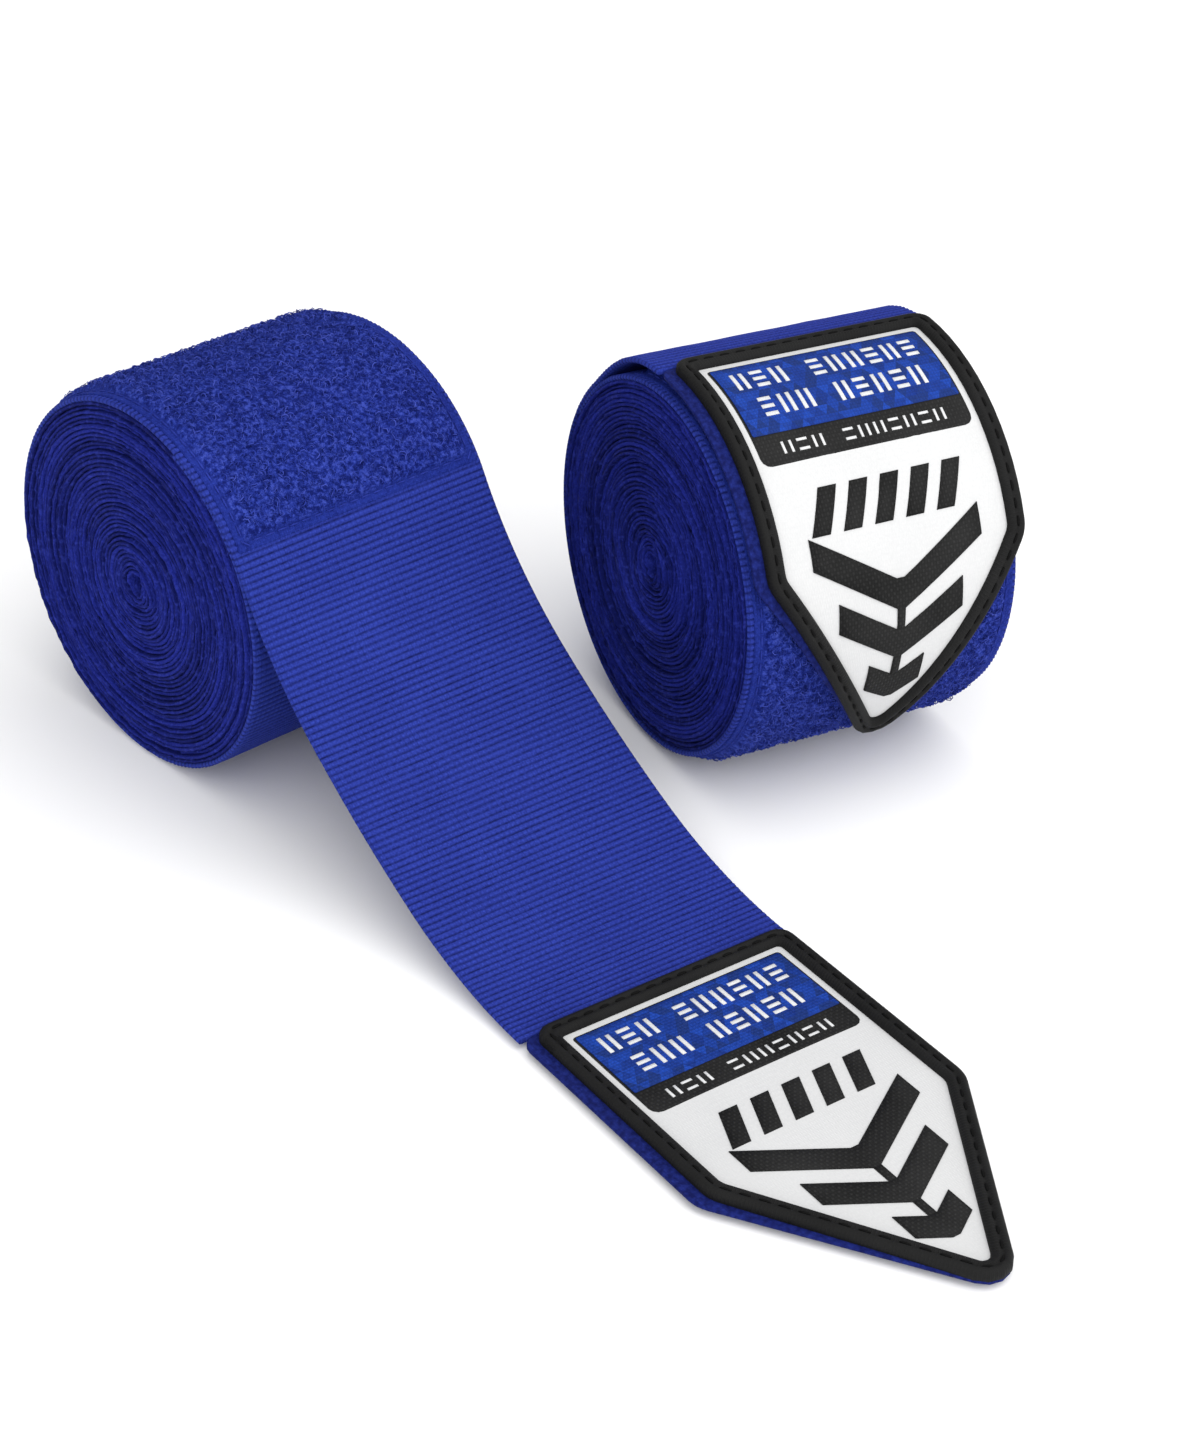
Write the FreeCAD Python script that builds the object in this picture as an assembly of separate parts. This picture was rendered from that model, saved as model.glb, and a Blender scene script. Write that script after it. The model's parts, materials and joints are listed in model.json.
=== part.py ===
"""A pair of hook-and-loop boxing hand wraps: one rolled up and closed, one with its end lying open."""
import FreeCAD
import Part
import math
import os

V = FreeCAD.Vector
UP = V(0, 0, 1)
FULL_TURN = 2.0 * math.pi

# The webbing strip and its roll
STRIP_LENGTH = 4500.0
STRIP_WIDTH = 50.0
WEBBING = 0.60
TURN_GAP = 0.12
TURN_PITCH = WEBBING + TURN_GAP
CORE_RADIUS = 3.2
PIECE_GAP = 0.35

# Thumb loop wound up in the middle of the roll
LOOP_WIDTH = 22.0
LOOP_THICKNESS = 1.0
LOOP_OPEN_ANGLE = math.radians(70.0)
TACK_THICKNESS = 0.5
TACK_WIDTH = 18.0
TACK_ANGLE = math.radians(32.0)

# Pile (loop) panel sewn on the outside of the strip
PILE_LENGTH = 118.0
PILE_WIDTH = 48.0
PILE_BASE = 0.45
PILE_DEPTH = 0.85
PILE_MARGIN = 2.2
SEAM_WIDTH = 0.6
SEAM_HEIGHT = 0.2
SEAM_INSET = 0.9

# Open wrap: where the strip leaves its roll, and how it comes down to the floor
LEAVE_ANGLE = math.radians(61.4)
TAIL_SLOPES = [math.radians(a) for a in (61.4, 37.4, 25.4, 0.0)]
TAIL_STATIONS = 7
SIDE_DRIFT = 5.25
TAB_YAW = 0.125
PILE_END_GAP = 2.7

# Label tab
LABEL_WIDTH = 47.0
LABEL_LENGTH = 80.5
LABEL_SHOULDER = 42.5
LABEL_OFFSET = 0.9
CORNER_RADIUS = 3.0
TIP_RADIUS = 6.0
BORDER_WIDTH = 2.7
BORDER_HEIGHT = 1.2
FIELD_THICKNESS = 0.4
ART_THICKNESS = 0.15
SHARPEST_CORNER = 0.6
SHARPEST_TIP = 1.5
STITCH_INSET = 1.1
STITCH_WIDTH = 0.4
STITCH_HEIGHT = 0.12
FRAME_WIDTH = 1.1
PANEL_END = 19.3
PANEL_CORNER = 0.3
STRIP_END = 24.6
STRIP_CORNER = 1.5
STRIP_GAP = 0.05
MARK_START = 45.5
MARK_SPINE = 0.7
MARK_ARM = 5.0
MARK_STEP = 8.4
MARK_SLOPE = 0.6
MARK_ARMS = 3
MARK_REACH = 15.5

# Hook panel on the back of the tab
HOOK_START = 10.0
HOOK_INSET = 3.5
HOOK_BASE = 0.35
HOOK_DEPTH = 0.55
HOOK_MARGIN = 1.8
HOOK_GRIP_GAP = 0.45
HOOK_SEAM_INSET = 0.6
HOOK_SEAM_WIDTH = 0.5
HOOK_SEAM_HEIGHT = 0.15

# Closed wrap: where it stands beside the open one, and where its label starts
CLOSED_X = 66.85
CLOSED_Y = -50.05
CLOSED_TURN = math.radians(-15.64)
CLOSED_LABEL_ANGLE = math.radians(-3.0)
FLAP_LEAD = 3.2

# How finely things are worked out
LAYOUT_PASSES = 6
CORNER_CHORDS = 3
CUTTER_MARGIN = 0.3
SAME_POINT = 0.05
SMALLEST_ARC = 1e-6
OFFSET_TOLERANCE = 1e-4


class Coil:
    """A strip wound outwards; each half turn is an arc, and the two arc centres lie half a pitch apart."""

    def __init__(self, wound_length, end_direction):
        start_radius = CORE_RADIUS + WEBBING / 2.0
        quad = TURN_PITCH / (2.0 * FULL_TURN)
        root = math.sqrt(start_radius ** 2 + 4.0 * quad * wound_length)
        wound = (root - start_radius) / (2.0 * quad)
        self.start = (end_direction - wound) % FULL_TURN
        self.end = self.start + wound
        self.base = CORE_RADIUS - TURN_PITCH * self.start / FULL_TURN

    def radius(self, half):
        return self.base + half * TURN_PITCH / 2.0

    def centre(self, half):
        return 0.0 if half % 2 == 0 else TURN_PITCH / 2.0

    def point(self, half, angle, rise):
        reach = self.radius(half) + rise
        return V(0, self.centre(half) + reach * math.cos(angle), reach * math.sin(angle))

    def arcs(self, a0, a1, rise):
        edges = []
        for half in range(int(math.floor(a0 / math.pi)), int(math.ceil(a1 / math.pi))):
            b0, b1 = max(a0, half * math.pi), min(a1, (half + 1) * math.pi)
            if b1 - b0 < SMALLEST_ARC:
                continue
            ends = [self.point(half, a, rise) for a in (b0, (b0 + b1) / 2.0, b1)]
            edges.append(Part.Arc(*ends).toShape())
        return edges

    def end_point(self, angle, rise):
        return self.point(int(math.floor(angle / math.pi)), angle, rise)

    def band(self, a0, a1, low, high, x0, x1):
        """A layer between two heights above the strip's inner face, from angle a0 to a1."""
        inner, outer = self.arcs(a0, a1, low), self.arcs(a0, a1, high)
        last = Part.makeLine(inner[-1].lastVertex().Point, outer[-1].lastVertex().Point)
        first = Part.makeLine(outer[0].firstVertex().Point, inner[0].firstVertex().Point)
        face = Part.Face(Part.Wire(Part.__sortEdges__(inner + [last] + outer[::-1] + [first])))
        solid = face.extrude(V(x1 - x0, 0, 0))
        solid.translate(V(x0, 0, 0))
        return solid

    def outer_radius(self):
        return self.radius(int(math.floor(self.end / math.pi))) + WEBBING

    def bottom_radius(self):
        half = int(math.floor((self.end - 1.5 * math.pi) / FULL_TURN)) * 2 + 1
        return self.radius(half) + WEBBING


def rounded(points, radii):
    """Round each corner of an outline with a short run of chords."""
    result = []
    count = len(points)
    for i, (corner, radius) in enumerate(zip(points, radii)):
        before, after = V(*points[i - 1], 0), V(*points[(i + 1) % count], 0)
        here = V(*corner, 0)
        a, b = (before - here).normalize(), (after - here).normalize()
        half = a.getAngle(b) / 2.0
        cut = radius / math.tan(half)
        centre = here + (a + b).normalize() * (radius / math.sin(half))
        first, last = here + a * cut - centre, here + b * cut - centre
        sweep = math.pi - 2.0 * half
        for k in range(CORNER_CHORDS + 1):
            t = k / CORNER_CHORDS
            spoke = first * math.sin((1 - t) * sweep) + last * math.sin(t * sweep)
            spoke = centre + spoke * (1.0 / math.sin(sweep))
            result.append((spoke.x, spoke.y))
    return result


def tab_outline(inset, near=0.0, start=0.0):
    """The label's five-sided outline as (across, along), shrunk by inset on every side."""
    half = LABEL_WIDTH / 2.0
    lean = math.atan2(LABEL_LENGTH - LABEL_SHOULDER, half)
    side = half - inset
    shoulder = LABEL_SHOULDER + inset * (math.sin(lean) - 1.0) / math.cos(lean)
    tip = LABEL_LENGTH - inset / math.cos(lean)
    top = start if start > inset else inset
    left = side + near
    points = [(-left, top), (side, top), (side, shoulder), (0.0, tip), (-left, shoulder)]
    sharp = max(CORNER_RADIUS - inset, SHARPEST_CORNER)
    radii = [sharp, sharp, CORNER_RADIUS, max(TIP_RADIUS - inset, SHARPEST_TIP), CORNER_RADIUS]
    return [(u + LABEL_OFFSET, v) for u, v in rounded(points, radii)]


def mark_outline():
    """A plain arrow-feather mark: swept arms on a central spine, shorter towards the tab's point."""
    lean = (LABEL_WIDTH / 2.0 - BORDER_WIDTH - FRAME_WIDTH) / (LABEL_LENGTH - LABEL_SHOULDER)
    side = []
    for i in range(MARK_ARMS):
        root = MARK_START + i * MARK_STEP
        room = LABEL_LENGTH - TIP_RADIUS - MARK_ARM - root
        reach = min(MARK_REACH, lean * (room - MARK_SLOPE * MARK_SPINE) / (1.0 - lean * MARK_SLOPE))
        fall = MARK_SLOPE * (reach - MARK_SPINE)
        side += [(MARK_SPINE, root), (reach, root - fall)]
        side += [(reach, root - fall + MARK_ARM), (MARK_SPINE, root + MARK_ARM)]
    outline = side + [(-u, v) for u, v in side[::-1]]
    return [(u + LABEL_OFFSET, v) for u, v in outline]


def box_outline(half_width, v0, v1, radius):
    points = [(-half_width, v0), (half_width, v0), (half_width, v1), (-half_width, v1)]
    return [(u + LABEL_OFFSET, v) for u, v in rounded(points, [PANEL_CORNER, PANEL_CORNER, radius, radius])]


class FlatTab:
    """Places label outlines on the flat tab that lies on the floor."""

    def __init__(self, origin, yaw):
        self.origin, self.yaw = origin, yaw

    def plate(self, outline, low, high):
        points = [V(u, -v, low) for u, v in outline]
        solid = Part.Face(Part.makePolygon(points + points[:1])).extrude(V(0, 0, high - low))
        solid.rotate(V(0, 0, 0), UP, -math.degrees(self.yaw))
        solid.translate(self.origin)
        return solid


class CurvedTab:
    """Places the same outlines round the closed roll; heights start at the tab webbing's inner face."""

    def __init__(self, radius, start_angle):
        self.radius, self.start_angle = radius, start_angle

    def plate(self, outline, low, high):
        surface = Part.Cylinder()
        surface.Radius = self.radius + low
        spots = []
        for u, v in outline:
            spots.append(FreeCAD.Base.Vector2d(self.start_angle + v / self.radius, u + STRIP_WIDTH / 2.0))
        edges = []
        for here, after in zip(spots, spots[1:] + spots[:1]):
            edges.append(Part.Geom2d.Line2dSegment(here, after).toShape(surface))
        face = Part.Face(surface, Part.Wire(Part.__sortEdges__(edges)))
        solid = face.makeOffsetShape(high - low, OFFSET_TOLERANCE, fill=True)
        solid.rotate(V(0, 0, 0), V(1, 1, 1), 120)
        return solid


def ring(tab, inset, width, low, high, start=0.0):
    outer = tab.plate(tab_outline(inset, start=start), low, high)
    inside = tab_outline(inset + width, start=start + width if start else 0.0)
    return outer.cut(tab.plate(inside, low - CUTTER_MARGIN, high + CUTTER_MARGIN))


def tab_pieces(prefix, tab, webbing_start):
    """Everything sewn together at the label end, from the hook panel up to the label's mark."""
    top = WEBBING + FIELD_THICKNESS
    inside = BORDER_WIDTH + FRAME_WIDTH
    half = LABEL_WIDTH / 2.0 - inside
    near = STRIP_WIDTH / 2.0 - LABEL_WIDTH / 2.0 + LABEL_OFFSET
    outline = tab_outline(0.0, near=near)
    webbing = [(u, webbing_start if v < LABEL_SHOULDER / 2.0 else v) for u, v in outline]
    hook = tab_outline(HOOK_INSET, start=HOOK_START)
    hook_top = tab_outline(HOOK_INSET + HOOK_MARGIN, start=HOOK_START + HOOK_MARGIN)
    hooks = tab.plate(hook, -HOOK_BASE, 0.0).fuse(tab.plate(hook_top, -HOOK_BASE - HOOK_DEPTH, -HOOK_BASE))
    panel = box_outline(half, inside, PANEL_END, PANEL_CORNER)
    strip = box_outline(half, PANEL_END + STRIP_GAP, STRIP_END, STRIP_CORNER)
    rim = WEBBING + BORDER_HEIGHT
    hook_seam = HOOK_START + HOOK_SEAM_INSET
    pieces = {
        "tab_webbing": tab.plate(unique(webbing), 0.0, WEBBING),
        "label_field": tab.plate(tab_outline(BORDER_WIDTH), WEBBING, top),
        "label_border": ring(tab, 0.0, BORDER_WIDTH, WEBBING, rim),
        "border_stitching": ring(tab, STITCH_INSET, STITCH_WIDTH, rim, rim + STITCH_HEIGHT),
        "label_panel": tab.plate(panel, top, top + ART_THICKNESS),
        "label_strip": tab.plate(strip, top, top + ART_THICKNESS),
        "label_mark": tab.plate(mark_outline(), top, top + ART_THICKNESS),
        "hook_panel": hooks.removeSplitter(),
        "hook_stitching": ring(tab, HOOK_INSET + HOOK_SEAM_INSET, HOOK_SEAM_WIDTH,
                               -HOOK_BASE - HOOK_SEAM_HEIGHT, -HOOK_BASE, start=hook_seam),
    }
    return {prefix + name: shape for name, shape in pieces.items()}


def unique(points):
    kept = []
    for point in points:
        if not kept or math.dist(point, kept[-1]) > SAME_POINT:
            kept.append(point)
    return kept


def core_pieces(prefix, coil):
    """The thumb loop and the bar tack that joins it to the strip's inner end."""
    x0 = (STRIP_WIDTH - LOOP_WIDTH) / 2.0
    outer = CORE_RADIUS - PIECE_GAP - TURN_PITCH
    inner = outer - LOOP_THICKNESS
    sweep = FULL_TURN - LOOP_OPEN_ANGLE
    start = coil.start + LOOP_OPEN_ANGLE / 2.0
    loop = arc_band(inner, outer, start, start + sweep, x0, x0 + LOOP_WIDTH)
    t0 = coil.start - TACK_ANGLE / 2.0
    x1 = (STRIP_WIDTH - TACK_WIDTH) / 2.0
    tack = arc_band(outer - TACK_THICKNESS, outer, t0, t0 + TACK_ANGLE, x1, x1 + TACK_WIDTH)
    return {prefix + "thumb_loop": loop, prefix + "thumb_loop_tack": tack}


def arc_band(inner, outer, a0, a1, x0, x1):
    def spot(radius, angle):
        return V(x0, radius * math.cos(angle), radius * math.sin(angle))
    mid = (a0 + a1) / 2.0
    low = Part.Arc(spot(inner, a0), spot(inner, mid), spot(inner, a1)).toShape()
    high = Part.Arc(spot(outer, a1), spot(outer, mid), spot(outer, a0)).toShape()
    ends = [Part.makeLine(spot(inner, a1), spot(outer, a1)), Part.makeLine(spot(outer, a0), spot(inner, a0))]
    return Part.Face(Part.Wire(Part.__sortEdges__([low, high] + ends))).extrude(V(x1 - x0, 0, 0))


def pile_pieces(prefix, coil, last_angle):
    """The pile panel with its flat sewn margin, ending at last_angle, and the seam round it."""
    reach = coil.outer_radius()
    first = last_angle - PILE_LENGTH / reach
    side = (STRIP_WIDTH - PILE_WIDTH) / 2.0
    x0, x1 = side, STRIP_WIDTH - side
    base_top = WEBBING + PILE_BASE
    step = PILE_MARGIN / reach
    base = coil.band(first, last_angle, WEBBING, base_top, x0, x1)
    tuft = coil.band(first + step, last_angle - step, base_top, base_top + PILE_DEPTH,
                     x0 + PILE_MARGIN, x1 - PILE_MARGIN)
    near, far = SEAM_INSET, SEAM_INSET + SEAM_WIDTH
    outer = coil.band(first + near / reach, last_angle - near / reach, base_top, base_top + SEAM_HEIGHT,
                      x0 + near, x1 - near)
    inner = coil.band(first + far / reach, last_angle - far / reach, base_top - CUTTER_MARGIN,
                      base_top + SEAM_HEIGHT + CUTTER_MARGIN, x0 + far, x1 - far)
    return {prefix + "pile_panel": base.fuse(tuft), prefix + "pile_stitching": outer.cut(inner)}


class Tail:
    """The open strip's way down from the roll: arcs whose slopes meet, drifting slightly to one side."""

    def __init__(self, coil, centre_height):
        start = coil.end_point(coil.end, WEBBING / 2.0)
        self.y, self.z = start.y, centre_height + start.z
        self.rest = HOOK_BASE + HOOK_DEPTH + WEBBING / 2.0
        self.length = 1.0
        unit = self.at(1.0)
        self.length = (self.z - self.rest) / unit["drop"]
        self.reach = self.at(1.0)["reach"]
        lean = self.reach * math.tan(TAB_YAW)
        self.square, self.cube = 3.0 * SIDE_DRIFT - lean, lean - 2.0 * SIDE_DRIFT

    def at(self, share):
        reach = drop = 0.0
        spans = len(TAIL_SLOPES) - 1
        span = self.length / spans
        slope = TAIL_SLOPES[0]
        for i in range(spans):
            part = min(max(share * spans - i, 0.0), 1.0)
            bend = (TAIL_SLOPES[i] - TAIL_SLOPES[i + 1]) / span
            after = TAIL_SLOPES[i] - bend * span * part
            reach += (math.sin(TAIL_SLOPES[i]) - math.sin(after)) / bend
            drop += (math.cos(after) - math.cos(TAIL_SLOPES[i])) / bend
            slope = after if part > 0.0 else slope
        return {"reach": reach, "drop": drop, "slope": slope}

    def frame(self, share):
        spot = self.at(share)
        t = spot["reach"] / self.reach
        yaw = math.atan((2.0 * self.square * t + 3.0 * self.cube * t * t) / self.reach)
        x = STRIP_WIDTH / 2.0 - self.square * t * t - self.cube * t ** 3
        centre = V(x, self.y - spot["reach"], self.z - spot["drop"])
        across = V(math.cos(yaw), -math.sin(yaw), 0)
        slope = spot["slope"]
        normal = V(-math.sin(yaw) * math.sin(slope), -math.cos(yaw) * math.sin(slope), math.cos(slope))
        return centre, across, normal

    def section(self, share):
        centre, across, normal = self.frame(share)
        side, rise = across * (STRIP_WIDTH / 2.0), normal * (WEBBING / 2.0)
        corners = [centre - side - rise, centre + side - rise, centre + side + rise, centre - side + rise]
        return Part.makePolygon(corners + corners[:1])

    def solid(self):
        first, last = PIECE_GAP / self.length, 1.0 - PIECE_GAP / self.length
        shares = [first + (last - first) * i / (TAIL_STATIONS - 1) for i in range(TAIL_STATIONS)]
        return Part.makeLoft([self.section(share) for share in shares], True, False)


def open_layout():
    """Settle the wound length and the length of the tail together."""
    tail_length = STRIP_WIDTH
    for _ in range(LAYOUT_PASSES):
        coil = Coil(STRIP_LENGTH - LABEL_LENGTH - tail_length, math.pi / 2.0 + LEAVE_ANGLE)
        tail = Tail(coil, coil.bottom_radius())
        tail_length = tail.length
    return coil, tail


def closed_layout(pile_to_label):
    """Start the flap no later than where the strip climbs onto the pile panel one turn below it."""
    flap_lead = FLAP_LEAD
    for _ in range(LAYOUT_PASSES):
        coil = Coil(STRIP_LENGTH - LABEL_LENGTH - flap_lead, math.pi / 2.0 + CLOSED_LABEL_ANGLE)
        reach = coil.outer_radius()
        flap_lead = max(FLAP_LEAD, pile_to_label + PILE_LENGTH + PIECE_GAP - FULL_TURN * reach)
    lead = flap_lead / reach
    coil = Coil(STRIP_LENGTH - LABEL_LENGTH - flap_lead, math.pi / 2.0 + CLOSED_LABEL_ANGLE - lead)
    seam = coil.end + lead - pile_to_label / coil.outer_radius()
    return coil, seam, flap_lead


def raise_by(pieces, height):
    for shape in pieces.values():
        shape.translate(V(0, 0, height))
    return pieces


def open_wrap():
    coil, tail = open_layout()
    webbing = coil.band(coil.start, coil.end, 0.0, WEBBING, 0.0, STRIP_WIDTH)
    pieces = {"open_webbing_roll": webbing}
    pieces.update(core_pieces("open_", coil))
    pieces.update(pile_pieces("open_", coil, coil.end - PILE_END_GAP / coil.outer_radius()))
    raise_by(pieces, coil.bottom_radius())
    pieces["open_tail_webbing"] = tail.solid()
    centre = tail.frame(1.0)[0]
    tab = FlatTab(V(centre.x, centre.y, HOOK_BASE + HOOK_DEPTH), TAB_YAW)
    pieces.update(tab_pieces("open_", tab, PIECE_GAP))
    return pieces, coil, tail


def closed_wrap(pile_to_label):
    coil, seam, flap_lead = closed_layout(pile_to_label)
    pieces = {"closed_webbing_roll": coil.band(coil.start, coil.end, 0.0, WEBBING, 0.0, STRIP_WIDTH)}
    pieces.update(core_pieces("closed_", coil))
    pieces.update(pile_pieces("closed_", coil, seam))
    radius = coil.radius(int(coil.end / math.pi) - 2) + WEBBING + PILE_BASE + PILE_DEPTH
    radius += HOOK_GRIP_GAP + HOOK_DEPTH + HOOK_BASE
    tab = CurvedTab(radius, math.pi / 2.0 + CLOSED_LABEL_ANGLE)
    pieces.update(tab_pieces("closed_", tab, -flap_lead * radius / coil.outer_radius()))
    raise_by(pieces, coil.bottom_radius() + PILE_BASE + PILE_DEPTH)
    for shape in pieces.values():
        shape.rotate(V(0, 0, 0), UP, math.degrees(CLOSED_TURN))
        shape.translate(V(CLOSED_X, CLOSED_Y, 0))
    return pieces, coil, tab, flap_lead


def footprint_middle(pieces):
    box = FreeCAD.BoundBox()
    for shape in pieces.values():
        box.add(shape.BoundBox)
    return V(-box.Center.x, -box.Center.y, -box.ZMin)


open_pieces, open_coil, open_tail = open_wrap()
closed_pieces, closed_coil, closed_tab, closed_lead = closed_wrap(open_tail.length + PILE_END_GAP)
pair = dict(open_pieces)
pair.update(closed_pieces)
shift = footprint_middle(pair)
os.makedirs("parts", exist_ok=True)
for name, shape in pair.items():
    shape.translate(shift)
    shape.exportStep("parts/" + name + ".step")
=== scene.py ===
import json
import math
import bmesh
import bpy
import numpy as np
from mathutils import Matrix, Vector


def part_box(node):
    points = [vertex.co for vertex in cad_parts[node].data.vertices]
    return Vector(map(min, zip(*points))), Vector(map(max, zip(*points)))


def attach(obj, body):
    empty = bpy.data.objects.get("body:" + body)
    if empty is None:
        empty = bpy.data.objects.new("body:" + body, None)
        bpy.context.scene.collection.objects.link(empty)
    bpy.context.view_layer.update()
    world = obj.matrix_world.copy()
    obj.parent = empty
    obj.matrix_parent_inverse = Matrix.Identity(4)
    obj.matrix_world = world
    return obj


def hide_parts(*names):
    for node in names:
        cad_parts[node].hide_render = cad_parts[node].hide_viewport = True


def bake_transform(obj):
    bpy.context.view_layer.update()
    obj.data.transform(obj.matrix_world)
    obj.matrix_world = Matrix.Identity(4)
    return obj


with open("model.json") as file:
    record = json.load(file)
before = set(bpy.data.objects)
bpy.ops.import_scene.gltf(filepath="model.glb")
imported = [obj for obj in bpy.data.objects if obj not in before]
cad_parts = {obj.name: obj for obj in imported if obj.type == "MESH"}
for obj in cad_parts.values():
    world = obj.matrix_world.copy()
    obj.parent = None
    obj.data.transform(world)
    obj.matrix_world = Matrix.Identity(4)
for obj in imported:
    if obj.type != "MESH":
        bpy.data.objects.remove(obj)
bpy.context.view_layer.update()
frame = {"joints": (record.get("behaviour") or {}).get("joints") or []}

MM = 0.001
TURN = 2.0 * math.pi
UP = np.array([0.0, 0.0, 1.0])
SEED = 7

# Webbing
WIDTH = 50.0 * MM
THICK = 0.60 * MM
TURN_PITCH = 0.72 * MM
RIB_PITCH = 1.07 * MM
RIB_HEIGHT = 0.25 * MM
RIB_STEPS = 6
COLUMNS, FINE_COLUMNS, UNDER_COLUMNS = 44, 52, 14
# Pile panel
PILE_LENGTH = 118.0 * MM
PILE_WIDTH = 48.0 * MM
PILE_BASE = 0.45 * MM
PILE_DEPTH = 0.85 * MM
PILE_MARGIN = 2.2 * MM
PILE_SLOPE = 0.9 * MM
PILE_STEP = 0.42 * MM
PILE_POINTS, PILE_HEM_POINTS = 100, 7
PILE_LIFT, HEM_NAP, SEAM_RISE = 0.05 * MM, 0.12, 0.12 * MM
LOOP_DENSITY, LOOP_SIZE = 1.3e6, 0.5 * MM
SEAM_INSET = 1.2 * MM
# Open end
LEAVE_ANGLE = math.radians(61.4)
TAIL_SLOPES = [math.radians(a) for a in (61.4, 37.4, 25.4, 0.0)]
SIDE_DRIFT = 5.25 * MM
TAB_YAW = 0.125
PILE_END_GAP = 2.7 * MM
OPEN_JOIN = math.radians(30.0)
HALF_WAY = 0.5
TAB_LIFT = 0.9 * MM
# Label
LABEL_WIDTH = 47.0 * MM
LABEL_LENGTH = 80.5 * MM
LABEL_SHOULDER = 42.5 * MM
LABEL_OFFSET = 0.9 * MM
BORDER_WIDTH = 2.9 * MM
PANEL_INSET = 4.5 * MM
PANEL_END = 19.3 * MM
STRIP_END = 24.6 * MM
SATIN_TUCK = 0.4 * MM
SATIN_TOP = THICK + 0.4 * MM
ART_TOP = SATIN_TOP + 0.15 * MM
SATIN_LEVELS, SATIN_CROWN = (THICK + 0.02 * MM, SATIN_TOP), 0.12 * MM
MARK_LEVELS = (SATIN_TOP + 0.02 * MM, ART_TOP + 0.10 * MM)
FACET_LEVELS = (ART_TOP, ART_TOP + 0.12 * MM)
DASH_LEVELS = (ART_TOP + 0.1 * MM, ART_TOP + 0.22 * MM)
TICK_LEVELS = (ART_TOP - 0.02 * MM, ART_TOP + 0.1 * MM)
FRAME_RADII, FRAME_SIDES = (0.6 * MM, 1.6 * MM), 26
PANEL_RADII, PANEL_SIDES = (0.3 * MM, 0.3 * MM), 20
# Corners of the outline: (radius at the very edge, share lost to the inset, smallest)
CORNER_ROUND, SHOULDER_ROUND, TIP_ROUND = (2.6, 0.6, 0.7), (6.0, 1.0, 2.5), (4.2, 1.0, 1.6)
FRAME_EDGE = 0.35 * MM
CLOTH_INSET, CLOTH_SQUARE = 0.25 * MM, 12.0 * MM
SOFT_EDGE = 0.08 * MM
SHARES = (0.12, 0.25, 0.38, 0.5, 0.62, 0.74, 0.85, 0.94)
POINT_RISE, POINT_RISE_START, POINT_RISE_LENGTH = 0.9 * MM, 55.0 * MM, 26.0 * MM
# Rim: (distance in from the edge, height over the cloth) round its section, in millimetres
RIM_SECTION = ((0.15, -0.55), (-0.05, -0.1), (-0.08, 0.6), (0.06, 1.15), (0.35, 1.5), (0.75, 1.66),
               (1.05, 1.6), (1.3, 1.36), (1.6, 1.34), (1.85, 1.52), (2.2, 1.5), (2.6, 1.28),
               (2.9, 0.9), (3.02, 0.5), (2.95, 0.1))
RIM_SEAM_INSET, RIM_SEAM_HEIGHT = 1.45 * MM, 1.38 * MM
# Ticks: (start, end, pattern, width of a place, stroke, gap), in millimetres
DASH_ROWS = ((6.4, 10.2, "u3u 3uu3u3", 2.3, 0.75, 1.15), (12.4, 16.2, "3uu u3u3u", 2.3, 0.75, 1.15))
TICK_ROWS = ((20.9, 23.0, "u2u 2uu2u2u", 1.9, 0.5, 0.9),)
# Slanted bars, in millimetres across
BAR_COUNT, BAR_START, BAR_WIDTH, BAR_STEP = 5, -13.2, 3.4, 5.7
BAR_SPAN, BAR_SLANT = (29.2 * MM, 36.6 * MM), 0.42
BAR_GRID, BAR_TAPER = (2.0 * MM, 1.2 * MM), 0.07 * MM
MARK_SIDE_GAP, MARK_TIP_GAP = 3.8 * MM, 6.0 * MM
MARK_START, MARK_STEP, MARK_ARM = 45.5 * MM, 8.4 * MM, 5.0 * MM
MARK_SPINE, MARK_REACH, MARK_SLOPE, MARK_ARMS = 0.7 * MM, 15.5 * MM, 0.6, 3
# Stitches: (pitch, length, thread width)
PILE_STITCH = (2.4 * MM, 1.9 * MM, 0.32 * MM)
RIM_STITCH = (2.9 * MM, 1.8 * MM, 0.55 * MM)
HOOK_STITCH = (2.4 * MM, 1.8 * MM, 0.3 * MM)
TACK_STITCH = (0.35 * MM, 0.4 * MM, 0.2 * MM)
# Hook panel
HOOK_LEVELS, HOOK_ROOT = (-0.38 * MM, -0.01 * MM), -0.36 * MM
HOOK_INSET, HOOK_START = 3.5 * MM, 10.0 * MM
HOOK_SEAM_INSET, HOOK_SEAM_START, HOOK_SEAM_HEIGHT = 4.3 * MM, 10.8 * MM, -0.42 * MM
HOOK_ROWS_INSET, HOOK_ROWS_START, HOOK_ROWS_END, HOOK_ROWS_POINT = 5.6 * MM, 12.0 * MM, 10.0 * MM, 8.5 * MM
HOOK_PITCH = 1.05 * MM
# Each level of a hook: (height, shift along the tab, size), in millimetres
HOOK_SHAPE = ((0.0, 0.0, 0.16), (-0.33, 0.0, 0.12), (-0.5, 0.16, 0.10), (-0.42, 0.34, 0.05))
# Thumb loop
LOOP_WIDTH, LOOP_THICK, LOOP_RIB = 22.0 * MM, 0.36 * MM, 0.05 * MM
LOOP_RADII, LOOP_TURNS, LOOP_POINTS, LOOP_END = (0.42 * MM, 1.35 * MM), 2.0, 60, 0.2
TACK_POINTS, TACK_HALF, TACK_RADIUS, TACK_SWING = 61, 9.0 * MM, 0.85 * MM, 0.2
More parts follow.
